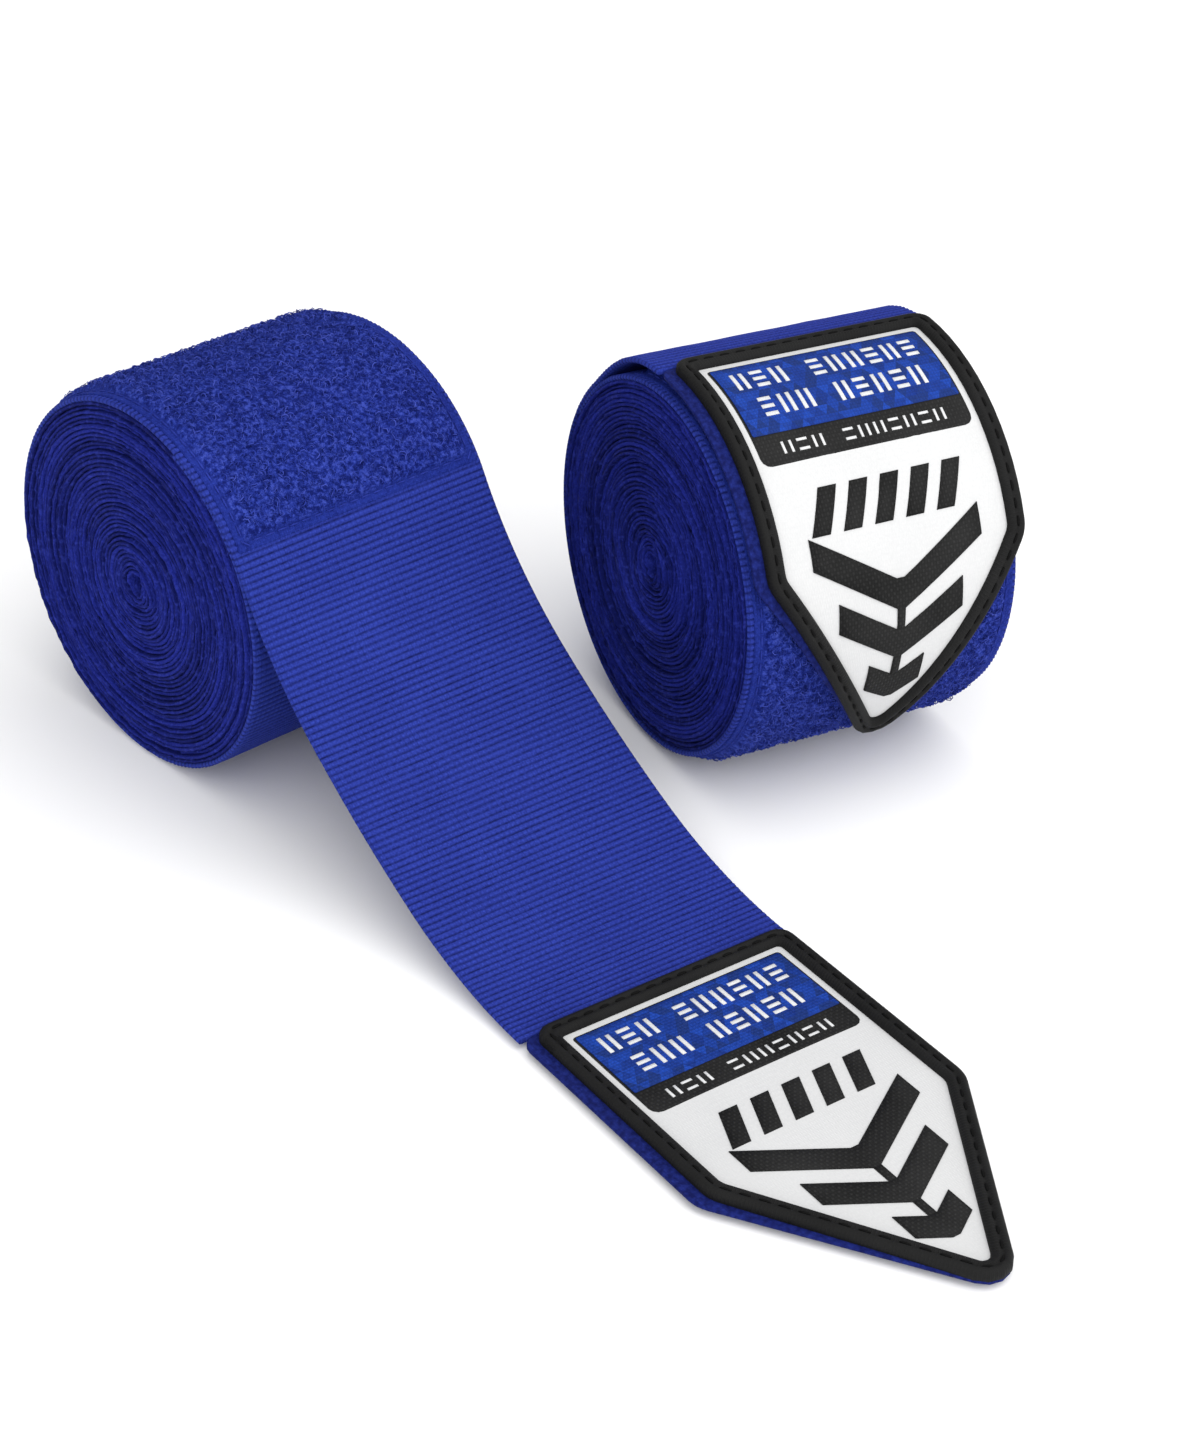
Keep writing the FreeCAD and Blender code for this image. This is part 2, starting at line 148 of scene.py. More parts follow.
# Closed roll
CLOSED_LABEL_ANGLE = math.radians(-3.0)
CLOSED_RADIUS = 32.14 * MM
CLOSED_TAB_RADIUS = 34.07 * MM
CLOSED_LEAD = 10.11 * MM
CLOSED_SEAM = math.radians(190.3)
OPEN_TURNS = 39.15
CLOSED_TURNS = 39.56
CENTRE_TURNS = 1.9
CLIMB, CLIMB_END = math.radians(-26.0), math.radians(9.0)
# Wound turns
OPEN_SEED, CLOSED_SEED = 11, 23
OUTER = math.radians(-400.0)
WOUND_STEP, SHARPEST_TURN = 1.2 * MM, 4.0 * MM
WOUND_SWELL = 1.12
KNOTS_PER_TURN, TIGHT_TURNS = 3, 8.0
SLIDE_STEP, SLIDE_WAVE, SLIDE_BACK = 0.22 * MM, 0.2 * MM, 0.15 * MM
SQUEEZE, EDGE_SHAKE = 0.03 * MM, (0.12 * MM, 0.03 * MM)


def joint(name):
    return next(j for j in frame["joints"] if j["name"] == name)


# ---------------------------------------------------------------- node graphs
class Graph:
    """Short calls for building a node tree."""

    def __init__(self, tree):
        self.tree = tree

    def put(self, socket, value):
        if isinstance(value, bpy.types.NodeSocket):
            self.tree.links.new(value, socket)
        elif value is not None:
            socket.default_value = value

    def add(self, kind, inputs=None, **props):
        node = self.tree.nodes.new(kind)
        for key, value in props.items():
            setattr(node, key, value)
        for key, value in (inputs or {}).items():
            self.put(node.inputs[key], value)
        return node

    def math(self, operation, *values, clamp=False):
        node = self.add("ShaderNodeMath", operation=operation, use_clamp=clamp)
        for i, value in enumerate(values):
            self.put(node.inputs[i], value)
        return node.outputs[0]

    def times(self, a, b):
        return self.math("MULTIPLY", a, b)

    def plus(self, a, b, clamp=False):
        return self.math("ADD", a, b, clamp=clamp)

    def minus(self, a, b):
        return self.math("SUBTRACT", a, b)

    def over(self, a, b):
        return self.math("DIVIDE", a, b)

    def size(self, value):
        return self.math("ABSOLUTE", value)

    def vector(self, operation, *values, out="Vector", **named):
        node = self.add("ShaderNodeVectorMath", operation=operation)
        for i, value in enumerate(values):
            self.put(node.inputs[i], value)
        for key, value in named.items():
            self.put(node.inputs[key], value)
        return node.outputs[out]

    def combine(self, x=0.0, y=0.0, z=0.0):
        return self.add("ShaderNodeCombineXYZ", {"X": x, "Y": y, "Z": z}).outputs[0]

    def noise(self, vector, scale, detail=2.0, roughness=0.5):
        inputs = {"Vector": vector, "Scale": scale, "Detail": detail, "Roughness": roughness}
        return self.add("ShaderNodeTexNoise", inputs, noise_dimensions="3D").outputs[0]

    def remap(self, value, a, b, c, d):
        inputs = {"Value": value, "From Min": a, "From Max": b, "To Min": c, "To Max": d}
        return self.add("ShaderNodeMapRange", inputs).outputs[0]

    def blend(self, factor, a, b):
        node = self.add("ShaderNodeMix", data_type="RGBA")
        self.put(node.inputs[0], factor)
        self.put(node.inputs[6], a)
        self.put(node.inputs[7], b)
        return node.outputs[2]


def group(name, kind, inputs, outputs):
    tree = bpy.data.node_groups.new(name, kind)
    for label, socket_type, default in inputs:
        socket = tree.interface.new_socket(label, in_out="INPUT", socket_type=socket_type)
        if default is not None:
            socket.default_value = default
    for label, socket_type in outputs:
        tree.interface.new_socket(label, in_out="OUTPUT", socket_type=socket_type)
    graph = Graph(tree)
    return graph, graph.add("NodeGroupInput").outputs, graph.add("NodeGroupOutput").inputs


FLOAT, VECTOR = "NodeSocketFloat", "NodeSocketVector"
GEOMETRY, INTEGER, MATERIAL = "NodeSocketGeometry", "NodeSocketInt", "NodeSocketMaterial"


def run_tree(obj, tree, **sizes):
    """Run a geometry tree on an object and keep its result as a plain mesh object of the same name."""
    modifier = obj.modifiers.new("Making", "NODES")
    modifier.node_group = tree
    for item in tree.interface.items_tree:
        label = item.name.lower().replace(" ", "_")
        if item.in_out == "INPUT" and label in sizes:
            modifier[item.identifier] = sizes[label]
    bpy.context.view_layer.update()
    depsgraph = bpy.context.evaluated_depsgraph_get()
    mesh = bpy.data.meshes.new_from_object(
        obj.evaluated_get(depsgraph), preserve_all_data_layers=True, depsgraph=depsgraph)
    mesh.name = obj.name
    obj.modifiers.remove(modifier)
    obj.data = mesh
    smooth(obj)
    return obj


# ---------------------------------------------------------------- shader groups
def yarn_group():
    """Plain weave over a cloth's own lengths: crossing yarns, with uneven thickness, and a shade that is
    darkest where the weave lies low, as painted shade between the yarns.
    """
    graph, put_in, put_out = group("Yarn weave", "ShaderNodeTree", [
        ("Cloth", VECTOR, None), ("Warp pitch", FLOAT, 0.0005), ("Weft pitch", FLOAT, 0.0005),
        ("Unevenness", FLOAT, 0.4)], [("Height", FLOAT), ("Shade", FLOAT)])
    split = graph.add("ShaderNodeSeparateXYZ", {"Vector": put_in["Cloth"]}).outputs
    drift = graph.noise(put_in["Cloth"], 900.0, 2.0)
    drift = graph.times(graph.minus(drift, 0.5), put_in["Unevenness"])
    u = graph.plus(graph.over(split["X"], put_in["Warp pitch"]), drift)
    v = graph.plus(graph.over(split["Y"], put_in["Weft pitch"]), drift)
    half_u = graph.times(u, math.pi)
    half_v = graph.times(v, math.pi)
    over = graph.times(graph.math("SINE", half_u), graph.math("SINE", half_v))
    yarn = graph.times(graph.size(graph.math("SINE", half_u)),
                      graph.size(graph.math("SINE", half_v)))
    height = graph.plus(graph.times(over, 0.35), graph.times(yarn, 0.65))
    graph.put(put_out["Height"], height)
    # darkest where the weave lies low: painted shade between the yarns
    graph.put(put_out["Shade"], graph.remap(height, -0.3, 0.9, 0.0, 1.0))
    return graph.tree


def lint_group():
    """Fine fuzz, broad fading and small dark and light flecks."""
    graph, put_in, put_out = group("Lint and fading", "ShaderNodeTree", [
        ("Place", VECTOR, None), ("Fuzz scale", FLOAT, 2600.0), ("Patch scale", FLOAT, 90.0)],
        [("Fuzz", FLOAT), ("Patch", FLOAT), ("Fleck", FLOAT)])
    fuzz = graph.noise(put_in["Place"], put_in["Fuzz scale"], 4.0, 0.65)
    graph.put(put_out["Fuzz"], fuzz)
    graph.put(put_out["Patch"], graph.noise(put_in["Place"], put_in["Patch scale"], 2.0))
    fleck = graph.noise(put_in["Place"], graph.times(put_in["Fuzz scale"], 0.45), 1.0)
    graph.put(put_out["Fleck"], graph.remap(fleck, 0.55, 0.72, 0.0, 1.0))
    return graph.tree


YARN, LINT = yarn_group(), lint_group()


def use(graph, tree, **inputs):
    node = graph.add("ShaderNodeGroup")
    node.node_tree = tree
    for key, value in inputs.items():
        graph.put(node.inputs[key.replace("_", " ")], value)
    return node.outputs


def cloth_material(name, dark, light, roughness=0.85, warp=0.45 * MM, weft=0.5 * MM, yarn_depth=0.25,
                   fuzz_depth=0.5, bump=0.12 * MM, patch=0.25, fuzz_scale=2600.0, specular=0.25, sheen=0.0,
                   weave_shade=0.35, extra=None):
    """A woven cloth: yarns from the weave group, with painted shade where they lie low, and fuzz and fading
    from the lint group.
    """
    material = bpy.data.materials.new(name)
    material.use_nodes = True
    graph = Graph(material.node_tree)
    shader = material.node_tree.nodes["Principled BSDF"]
    cloth = graph.add("ShaderNodeUVMap", uv_map="Cloth").outputs[0]
    place = graph.add("ShaderNodeTexCoord").outputs["Object"]
    weave = use(graph, YARN, Cloth=cloth, Warp_pitch=warp, Weft_pitch=weft)
    lint = use(graph, LINT, Place=place, Fuzz_scale=fuzz_scale)
    # painted shade between the yarns: the cloth is darker where its weave lies low
    tone = graph.times(weave["Shade"], weave_shade)
    tone = graph.plus(tone, graph.remap(lint["Fuzz"], 0.3, 0.7, 0.0, 0.9 - weave_shade))
    tone = graph.plus(tone, graph.remap(lint["Patch"], 0.3, 0.7, -patch, patch), clamp=True)
    color = graph.blend(tone, (*dark, 1.0), (*light, 1.0))
    if extra:
        color = extra(graph, color, cloth, lint)
    graph.put(shader.inputs["Base Color"], color)
    uneven = graph.remap(lint["Fuzz"], 0.2, 0.8, roughness - 0.08, roughness + 0.1)
    graph.put(shader.inputs["Roughness"], uneven)
    height = graph.plus(graph.times(weave["Height"], yarn_depth),
                        graph.times(lint["Fuzz"], fuzz_depth))
    relief = graph.add("ShaderNodeBump", {"Height": height, "Distance": bump, "Strength": 1.0})
    graph.put(shader.inputs["Normal"], relief.outputs[0])
    shader.inputs["Specular IOR Level"].default_value = specular
    if sheen:
        shader.inputs["Sheen Weight"].default_value = sheen
        shader.inputs["Sheen Roughness"].default_value = 0.45
        shader.inputs["Sheen Tint"].default_value = (*light, 1.0)
    return material


def rib_shading(graph, color, cloth, lint):
    """Painted shadow down in the grooves between ribs, fading in and out along each one, and painted shade in
    the gaps between the threads across the strip.
    """
    along = graph.add("ShaderNodeAttribute", attribute_name="rib").outputs["Fac"]
    # painted shadow, darkest down in each groove between ribs
    groove = graph.remap(along, 0.2, 0.96, 1.0, 0.0)
    patchy = graph.remap(graph.noise(cloth, 1100.0, 2.0), 0.35, 0.65, 0.6, 1.0)
    side = graph.add("ShaderNodeSeparateXYZ", {"Vector": cloth}).outputs["X"]
    thread = graph.size(graph.math("SINE", graph.times(side, math.pi / (0.95 * MM))))
    # painted shade in the gaps between the threads that run along the strip
    gap = graph.times(graph.remap(thread, 0.0, 0.5, 0.42, 0.0), patchy)
    color = graph.blend(gap, color, (0.003, 0.008, 0.10, 1.0))
    return graph.blend(graph.times(groove, patchy), color, (0.0012, 0.0042, 0.066, 1.0))


def turn_shading(graph, color, cloth, lint):
    """Some turns of the roll are darker than others at random, painted shade runs along the edges where each
    turn meets the next, and light flecks are painted highlights where loose fibres catch the light.
    """
    turn = graph.add("ShaderNodeAttribute", attribute_name="turn").outputs["Fac"]
    # random per-turn darkening together with painted shade between the turns, both carried by the turn
    # attribute
    color = graph.blend(graph.times(turn, 0.78), color, (0.0012, 0.003, 0.045, 1.0))
    # painted highlights on loose fibres
    return graph.blend(graph.times(lint["Fleck"], 0.4), color, (0.032, 0.048, 0.36, 1.0))


# Painted shadow colour for the gaps between the pile's loops
PILE_SHADOW = (0.002, 0.006, 0.085, 1.0)


def pile_shading(graph, color, cloth, lint):
    """Painted highlights on the tips and painted shade in the gaps of the brushed loops."""
    place = graph.add("ShaderNodeTexCoord").outputs["Object"]
    grain = graph.noise(place, 1250.0, 3.0, 0.75)
    lift = graph.add("ShaderNodeAttribute", attribute_name="lift").outputs["Vector"]
    brushed = graph.remap(graph.vector("LENGTH", lift, out="Value"), 0.15, 0.6, 0.0, 1.0)
    # painted shade in the gaps and painted highlights on the tips, only over the brushed middle
    dark = graph.times(graph.remap(grain, 0.40, 0.50, 0.9, 0.0), brushed)
    light = graph.times(graph.remap(grain, 0.52, 0.62, 0.0, 0.65), brushed)
    color = graph.blend(dark, color, PILE_SHADOW)
    return graph.blend(light, color, (0.046, 0.074, 0.40, 1.0))


def loop_shading(graph, color, cloth, lint):
    """Each loop of the pile gets a random amount of painted shade, darkest on some loops, and of painted
    highlight, lightest on others.
    """
    tone = graph.add("ShaderNodeAttribute", attribute_name="tone").outputs["Fac"]
    # painted shade on some loops, painted highlight on others
    dark = graph.blend(graph.remap(tone, 0.0, 0.5, 0.9, 0.0), color, PILE_SHADOW)
    return graph.blend(graph.remap(tone, 0.45, 1.0, 0.0, 0.75), dark, (0.058, 0.085, 0.43, 1.0))


def facet_shading(graph, color, cloth, lint):
    """A woven pattern of small triangles in several blues, some nearly black, with painted shade between the
    yarns.
    """
    split = graph.add("ShaderNodeSeparateXYZ", {"Vector": cloth}).outputs
    x = graph.over(split["X"], 2.1 * MM)
    y = graph.over(split["Y"], 1.8 * MM)
    slant = graph.times(y, 0.5)
    left = graph.math("FLOOR", graph.plus(x, slant))
    right = graph.math("FLOOR", graph.minus(x, slant))
    cell = graph.combine(left, right, graph.math("FLOOR", y))
    pick = graph.add("ShaderNodeTexWhiteNoise", {"Vector": cell}, noise_dimensions="3D").outputs["Value"]
    facets = graph.blend(pick, (0.003, 0.022, 0.17, 1.0), (0.009, 0.062, 0.43, 1.0))
    facets = graph.blend(graph.remap(pick, 0.66, 0.70, 0.0, 0.72), facets, (0.004, 0.014, 0.07, 1.0))
    yarn = use(graph, YARN, Cloth=cloth, Warp_pitch=0.55 * MM, Weft_pitch=0.62 * MM)["Shade"]
    # painted shade between the label's yarns, near black where the weave lies low
    return graph.blend(graph.remap(yarn, 0.0, 0.45, 0.75, 0.0), facets, (0.003, 0.010, 0.05, 1.0))


BLUE_DARK, BLUE_LIGHT = (0.0056, 0.0125, 0.155), (0.030, 0.056, 0.38)
webbing = cloth_material("Ribbed webbing", BLUE_DARK, BLUE_LIGHT, specular=0.15, sheen=0.08, patch=0.06,
                         fuzz_scale=3200.0, extra=rib_shading)
edge_webbing = cloth_material("Webbing edges", (0.0045, 0.0085, 0.13), (0.022, 0.036, 0.35), warp=0.3 * MM,
                              weft=0.7 * MM, fuzz_scale=2300.0, fuzz_depth=1.0, bump=0.25 * MM, patch=0.06,
                              specular=0.08, extra=turn_shading)
pile_cloth = cloth_material("Brushed pile", (0.0030, 0.008, 0.105), (0.020, 0.040, 0.30), fuzz_scale=1100.0,
                            fuzz_depth=1.0, bump=0.4 * MM, patch=0.08, sheen=0.35, specular=0.08,
                            extra=pile_shading)
pile_thread = cloth_material("Pile loops", BLUE_DARK, BLUE_LIGHT, warp=0.15 * MM, weft=0.2 * MM, patch=0.05,
                             sheen=0.35, specular=0.12, extra=loop_shading)
blue_thread = cloth_material("Blue thread", (0.007, 0.015, 0.16), (0.026, 0.048, 0.34), warp=0.15 * MM,
                             weft=0.3 * MM, specular=0.15)
black_thread = cloth_material("Black border thread", (0.0012, 0.0012, 0.0013), (0.0085, 0.0085, 0.0085),
                              warp=0.28 * MM, weft=3.0 * MM, roughness=0.7, yarn_depth=0.5, specular=0.2)
dark_thread = cloth_material("Dark sewing thread", (0.0006, 0.0006, 0.0006), (0.003, 0.003, 0.003),
                             warp=0.1 * MM, weft=0.3 * MM, roughness=0.75, specular=0.12)
black_weave = cloth_material("Black label weave", (0.0015, 0.0015, 0.0015), (0.020, 0.020, 0.020),
                             warp=0.55 * MM, weft=0.65 * MM, roughness=0.75, yarn_depth=1.0, weave_shade=0.8,
                             specular=0.2)
white_satin = cloth_material("White satin", (0.51, 0.513, 0.517), (0.595, 0.595, 0.595), warp=0.22 * MM,
                             weft=0.9 * MM, roughness=0.55, yarn_depth=0.3, fuzz_depth=0.15, bump=0.05 * MM,
                             patch=0.1, specular=0.3)
white_print = cloth_material("White woven marks", (0.52, 0.53, 0.54), (0.67, 0.67, 0.67), warp=0.3 * MM,
                             weft=0.4 * MM, roughness=0.6)
blue_facets = cloth_material("Blue facet weave", (0.01, 0.04, 0.3), (0.03, 0.14, 0.75), warp=0.55 * MM,
                             weft=0.62 * MM, roughness=0.65, yarn_depth=1.0, specular=0.15,
                             extra=facet_shading)
hook_nylon = cloth_material("Hook nylon", (0.004, 0.009, 0.10), (0.018, 0.034, 0.24), roughness=0.45,
                            specular=0.4, warp=0.8 * MM, weft=0.8 * MM)


# ---------------------------------------------------------------- geometry trees
def finish_tree(graph, last, material, put_out):
    """Every tree ends alike: real geometry, dressed in one material."""
    whole = graph.add("GeometryNodeRealizeInstances", {"Geometry": last.outputs[0]})
    dressed = graph.add("GeometryNodeSetMaterial", {"Geometry": whole.outputs[0], "Material": material})
    graph.put(put_out["Geometry"], dressed.outputs[0])
    return graph.tree


def rib_tree():
    """Raises uneven cross ribs along a strip, and notes how deep each point lies in a groove."""
    graph, put_in, put_out = group("Cross ribs", "GeometryNodeTree", [
        ("Geometry", GEOMETRY, None), ("Rib pitch", FLOAT, RIB_PITCH), ("Rib height", FLOAT, RIB_HEIGHT),
        ("Wobble", FLOAT, 0.16 * MM), ("Cloth", MATERIAL, None)], [("Geometry", GEOMETRY)])

    def named(name, kind):
        return graph.add("GeometryNodeInputNamedAttribute", {"Name": name}, data_type=kind).outputs[0]
    along, across, lift = named("along", "FLOAT"), named("across", "FLOAT"), named("lift", "FLOAT_VECTOR")
    spot = graph.combine(graph.times(across, 0.35), along, SEED * 0.1)
    sway = graph.times(graph.minus(graph.noise(spot, 210.0, 2.0), 0.5), put_in["Wobble"])
    phase = graph.over(graph.plus(along, graph.times(sway, 2.0)), put_in["Rib pitch"])
    saw = graph.size(graph.minus(graph.times(graph.math("FRACT", phase), 2.0), 1.0))
    ridge = graph.minus(1.0, graph.math("POWER", saw, 2.6))
    fade = graph.remap(graph.noise(spot, 420.0, 2.0), 0.25, 0.75, 0.72, 1.2)
    bead = graph.times(graph.math("SINE", graph.times(across, TURN / (0.9 * MM))), 0.06)
    rise = graph.times(graph.plus(graph.times(ridge, fade), bead), put_in["Rib height"])
    moved = graph.add("GeometryNodeSetPosition", {
        "Geometry": put_in["Geometry"], "Offset": graph.vector("SCALE", lift, Scale=rise)})
    noted = graph.add("GeometryNodeStoreNamedAttribute", {
        "Geometry": moved.outputs[0], "Name": "rib", "Value": ridge}, data_type="FLOAT", domain="POINT")
    return finish_tree(graph, noted, put_in["Cloth"], put_out)


def nap_tree():
    """Roughens a brushed surface with small soft tufts."""
    graph, put_in, put_out = group("Brushed nap", "GeometryNodeTree", [
        ("Geometry", GEOMETRY, None), ("Nap height", FLOAT, 0.42 * MM), ("Tuft size", FLOAT, 0.9 * MM),
        ("Cloth", MATERIAL, None)], [("Geometry", GEOMETRY)])
    place = graph.add("GeometryNodeInputPosition").outputs[0]
    lift = graph.add("GeometryNodeInputNamedAttribute", {"Name": "lift"}, data_type="FLOAT_VECTOR").outputs[0]
    scale = graph.over(1.0, put_in["Tuft size"])
    tuft = graph.noise(place, scale, 3.0, 0.6)
    broad = graph.noise(place, graph.times(scale, 0.22), 1.0)
    rise = graph.plus(graph.remap(tuft, 0.3, 0.7, -0.5, 0.5), graph.remap(broad, 0.3, 0.7, -0.1, 0.1))
    rise = graph.times(rise, put_in["Nap height"])
    moved = graph.add("GeometryNodeSetPosition", {
        "Geometry": put_in["Geometry"], "Offset": graph.vector("SCALE", lift, Scale=rise)})
    return finish_tree(graph, moved, put_in["Cloth"], put_out)


def loop_tree():
    """Scatters small loops of thread over a surface."""
    graph, put_in, put_out = group("Thread loops", "GeometryNodeTree", [
        ("Geometry", GEOMETRY, None), ("Loops per area", FLOAT, 1.0e6), ("Loop size", FLOAT, 0.45 * MM),
        ("Thread radius", FLOAT, 0.085 * MM), ("Seed", INTEGER, SEED), ("Thread", MATERIAL, None)],
        [("Geometry", GEOMETRY)])
    spread = graph.add("GeometryNodeDistributePointsOnFaces", {
        "Mesh": put_in["Geometry"], "Density": put_in["Loops per area"], "Seed": put_in["Seed"]},
        distribute_method="RANDOM")
    arc = graph.add("GeometryNodeCurveArc", {"Resolution": 5, "Radius": put_in["Loop size"],
                                             "Start Angle": -0.5, "Sweep Angle": 4.1})
    ring = graph.add("GeometryNodeCurvePrimitiveCircle", {"Resolution": 3, "Radius": put_in["Thread radius"]})
    thread = graph.add("GeometryNodeCurveToMesh", {"Curve": arc.outputs[0], "Profile Curve": ring.outputs[0],
                                                   "Fill Caps": True})
    stand = graph.add("GeometryNodeTransform", {"Geometry": thread.outputs[0], "Rotation": (1.15, 0.0, 0.0)})
    turn = graph.add("FunctionNodeRandomValue", {"Seed": put_in["Seed"]}, data_type="FLOAT")
    graph.put(turn.inputs[2], 0.0)
    graph.put(turn.inputs[3], TURN)
    spin = graph.add("FunctionNodeRotateRotation", {
        "Rotation": spread.outputs["Rotation"],
        "Rotate By": graph.combine(0.0, 0.0, turn.outputs[1])}, rotation_space="LOCAL")
    size = graph.add("FunctionNodeRandomValue", {"Seed": graph.plus(put_in["Seed"], 5.0)}, data_type="FLOAT")
    graph.put(size.inputs[2], 0.5)
    graph.put(size.inputs[3], 1.25)
    placed = graph.add("GeometryNodeInstanceOnPoints", {
        "Points": spread.outputs["Points"], "Instance": stand.outputs[0], "Rotation": spin.outputs[0],
        "Scale": size.outputs[1]})
    tone = graph.add("FunctionNodeRandomValue", {"Seed": graph.plus(put_in["Seed"], 9.0)}, data_type="FLOAT")
    toned = graph.add("GeometryNodeStoreNamedAttribute", {
        "Geometry": placed.outputs[0], "Name": "tone", "Value": tone.outputs[1]},
        data_type="FLOAT", domain="INSTANCE")
    return finish_tree(graph, toned, put_in["Thread"], put_out)


def stitch_tree():
    """Lays rounded stitches along a line, one each pitch."""
    graph, put_in, put_out = group("Stitch line", "GeometryNodeTree", [
        ("Geometry", GEOMETRY, None), ("Stitch pitch", FLOAT, 2.6 * MM), ("Stitch length", FLOAT, 1.9 * MM),
        ("Thread width", FLOAT, 0.45 * MM), ("Thread", MATERIAL, None)], [("Geometry", GEOMETRY)])
    line = graph.add("GeometryNodeMeshToCurve", {"Mesh": put_in["Geometry"]})
    dots = graph.add("GeometryNodeCurveToPoints", {
        "Curve": line.outputs[0], "Length": put_in["Stitch pitch"]}, mode="LENGTH")
    bead = graph.add("GeometryNodeMeshUVSphere", {"Segments": 6, "Rings": 5, "Radius": 0.5})
    aim = graph.add("FunctionNodeAlignRotationToVector", {"Vector": dots.outputs["Tangent"]}, axis="Z")
    size = graph.combine(put_in["Thread width"], put_in["Thread width"], put_in["Stitch length"])
    placed = graph.add("GeometryNodeInstanceOnPoints", {
        "Points": dots.outputs["Points"], "Instance": bead.outputs["Mesh"], "Rotation": aim.outputs[0],
        "Scale": size})
    return finish_tree(graph, placed, put_in["Thread"], put_out)


RIBS, NAP, LOOPS, STITCHES = rib_tree(), nap_tree(), loop_tree(), stitch_tree()


# ---------------------------------------------------------------- meshes
def settle(piece, body=None, node=None):
    """Say which body a piece rides on and which plain solid it stands for."""
    if body:
        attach(piece, body)
    if node:
        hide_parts(node)


def smooth(obj):
    obj.data.polygons.foreach_set("use_smooth", [True] * len(obj.data.polygons))


def make_object(name, points, faces, cloth=None, marks=None, material=None):
    mesh = bpy.data.meshes.new(name)
    mesh.from_pydata([tuple(p) for p in points], [], faces)
    mesh.validate()
    for label, values in (marks or {}).items():
        values = np.asarray(values, np.float32)
        kind, key = ("FLOAT", "value") if values.ndim == 1 else ("FLOAT_VECTOR", "vector")
        mesh.attributes.new(label, kind, "POINT").data.foreach_set(key, values.ravel())
    if cloth is not None:
        layer = mesh.uv_layers.new(name="Cloth")
        index = np.zeros(len(mesh.loops), np.int32)
        mesh.loops.foreach_get("vertex_index", index)
        layer.data.foreach_set("uv", np.asarray(cloth, np.float32)[index].ravel())
    obj = bpy.data.objects.new(name, mesh)
    bpy.context.scene.collection.objects.link(obj)
    if material:
        mesh.materials.append(material)
    smooth(obj)
    return obj


def face_out(obj):
    """Turn every face of a closed mesh outwards."""
    mesh = bmesh.new()
    mesh.from_mesh(obj.data)
    bmesh.ops.recalc_face_normals(mesh, faces=mesh.faces)
    mesh.to_mesh(obj.data)
    mesh.free()
    return obj


def grid_faces(rows, columns, wrap_columns=False, wrap_rows=False):
    faces = []
    for i in range(rows if wrap_rows else rows - 1):
        for j in range(columns if wrap_columns else columns - 1):
            a, b = i * columns + j, i * columns + (j + 1) % columns
            c, d = ((i + 1) % rows) * columns + (j + 1) % columns, ((i + 1) % rows) * columns + j
            faces.append((a, b, c, d))
    return faces


def tube_faces(rows, columns):
    """Faces of a closed tube of rows of points, with both its ends shut."""
    ends = [tuple(range(columns))[::-1], tuple(range((rows - 1) * columns, rows * columns))]
    return grid_faces(rows, columns, wrap_columns=True) + ends


def block_faces(base, rows, columns):
    """Faces of a flat block: a lower and an upper grid of points and the walls round them."""
    top = base + rows * columns
    faces = []
    for i in range(rows - 1):
        for j in range(columns - 1):
            a = i * columns + j
            faces.append((top + a, top + a + 1, top + a + 1 + columns, top + a + columns))
            faces.append((base + a, base + a + columns, base + a + 1 + columns, base + a + 1))
    rim = list(range(columns)) + [i * columns + columns - 1 for i in range(1, rows)]
    rim += [(rows - 1) * columns + j for j in range(columns - 2, -1, -1)]
    rim += [i * columns for i in range(rows - 2, 0, -1)]
    return faces + [(base + a, base + b, top + b, top + a) for a, b in zip(rim, rim[1:] + rim[:1])]


def strip_section(width, thick, top_columns, under_columns):
    """Cross-section loop of a strip: (across, height, how much of each rib it takes)."""
    half, radius = width / 2.0, thick / 2.0
    flat = half - radius
    top = [(x, radius, 1.0) for x in np.linspace(-flat, flat, top_columns)]
    right = [(flat + radius * math.cos(a), radius * math.sin(a), 0.2) for a in (0.9, 0.0, -0.9)]
    under = [(x, -radius, -0.6) for x in np.linspace(flat, -flat, under_columns)]
    left = [(-flat - radius * math.cos(a), radius * math.sin(a), 0.2) for a in (-0.9, 0.0, 0.9)]
    return np.array(top + right + under + left)


def ribbon(name, centres, across, normals, along, section):
    """A closed strip swept along stations."""
    n, k = len(centres), len(section)
    points = (centres[:, None] + across[:, None] * section[None, :, 0, None]
              + normals[:, None] * section[None, :, 1, None]).reshape(-1, 3)
    lift = (normals[:, None] * section[None, :, 2, None]).reshape(-1, 3)
    sides = np.broadcast_to(section[None, :, 0], (n, k)).ravel()
    runs = np.broadcast_to(np.asarray(along)[:, None], (n, k)).ravel()
    return face_out(make_object(name, points, tube_faces(n, k), np.stack([sides, runs], 1),
                                {"along": runs, "across": sides, "lift": lift}))


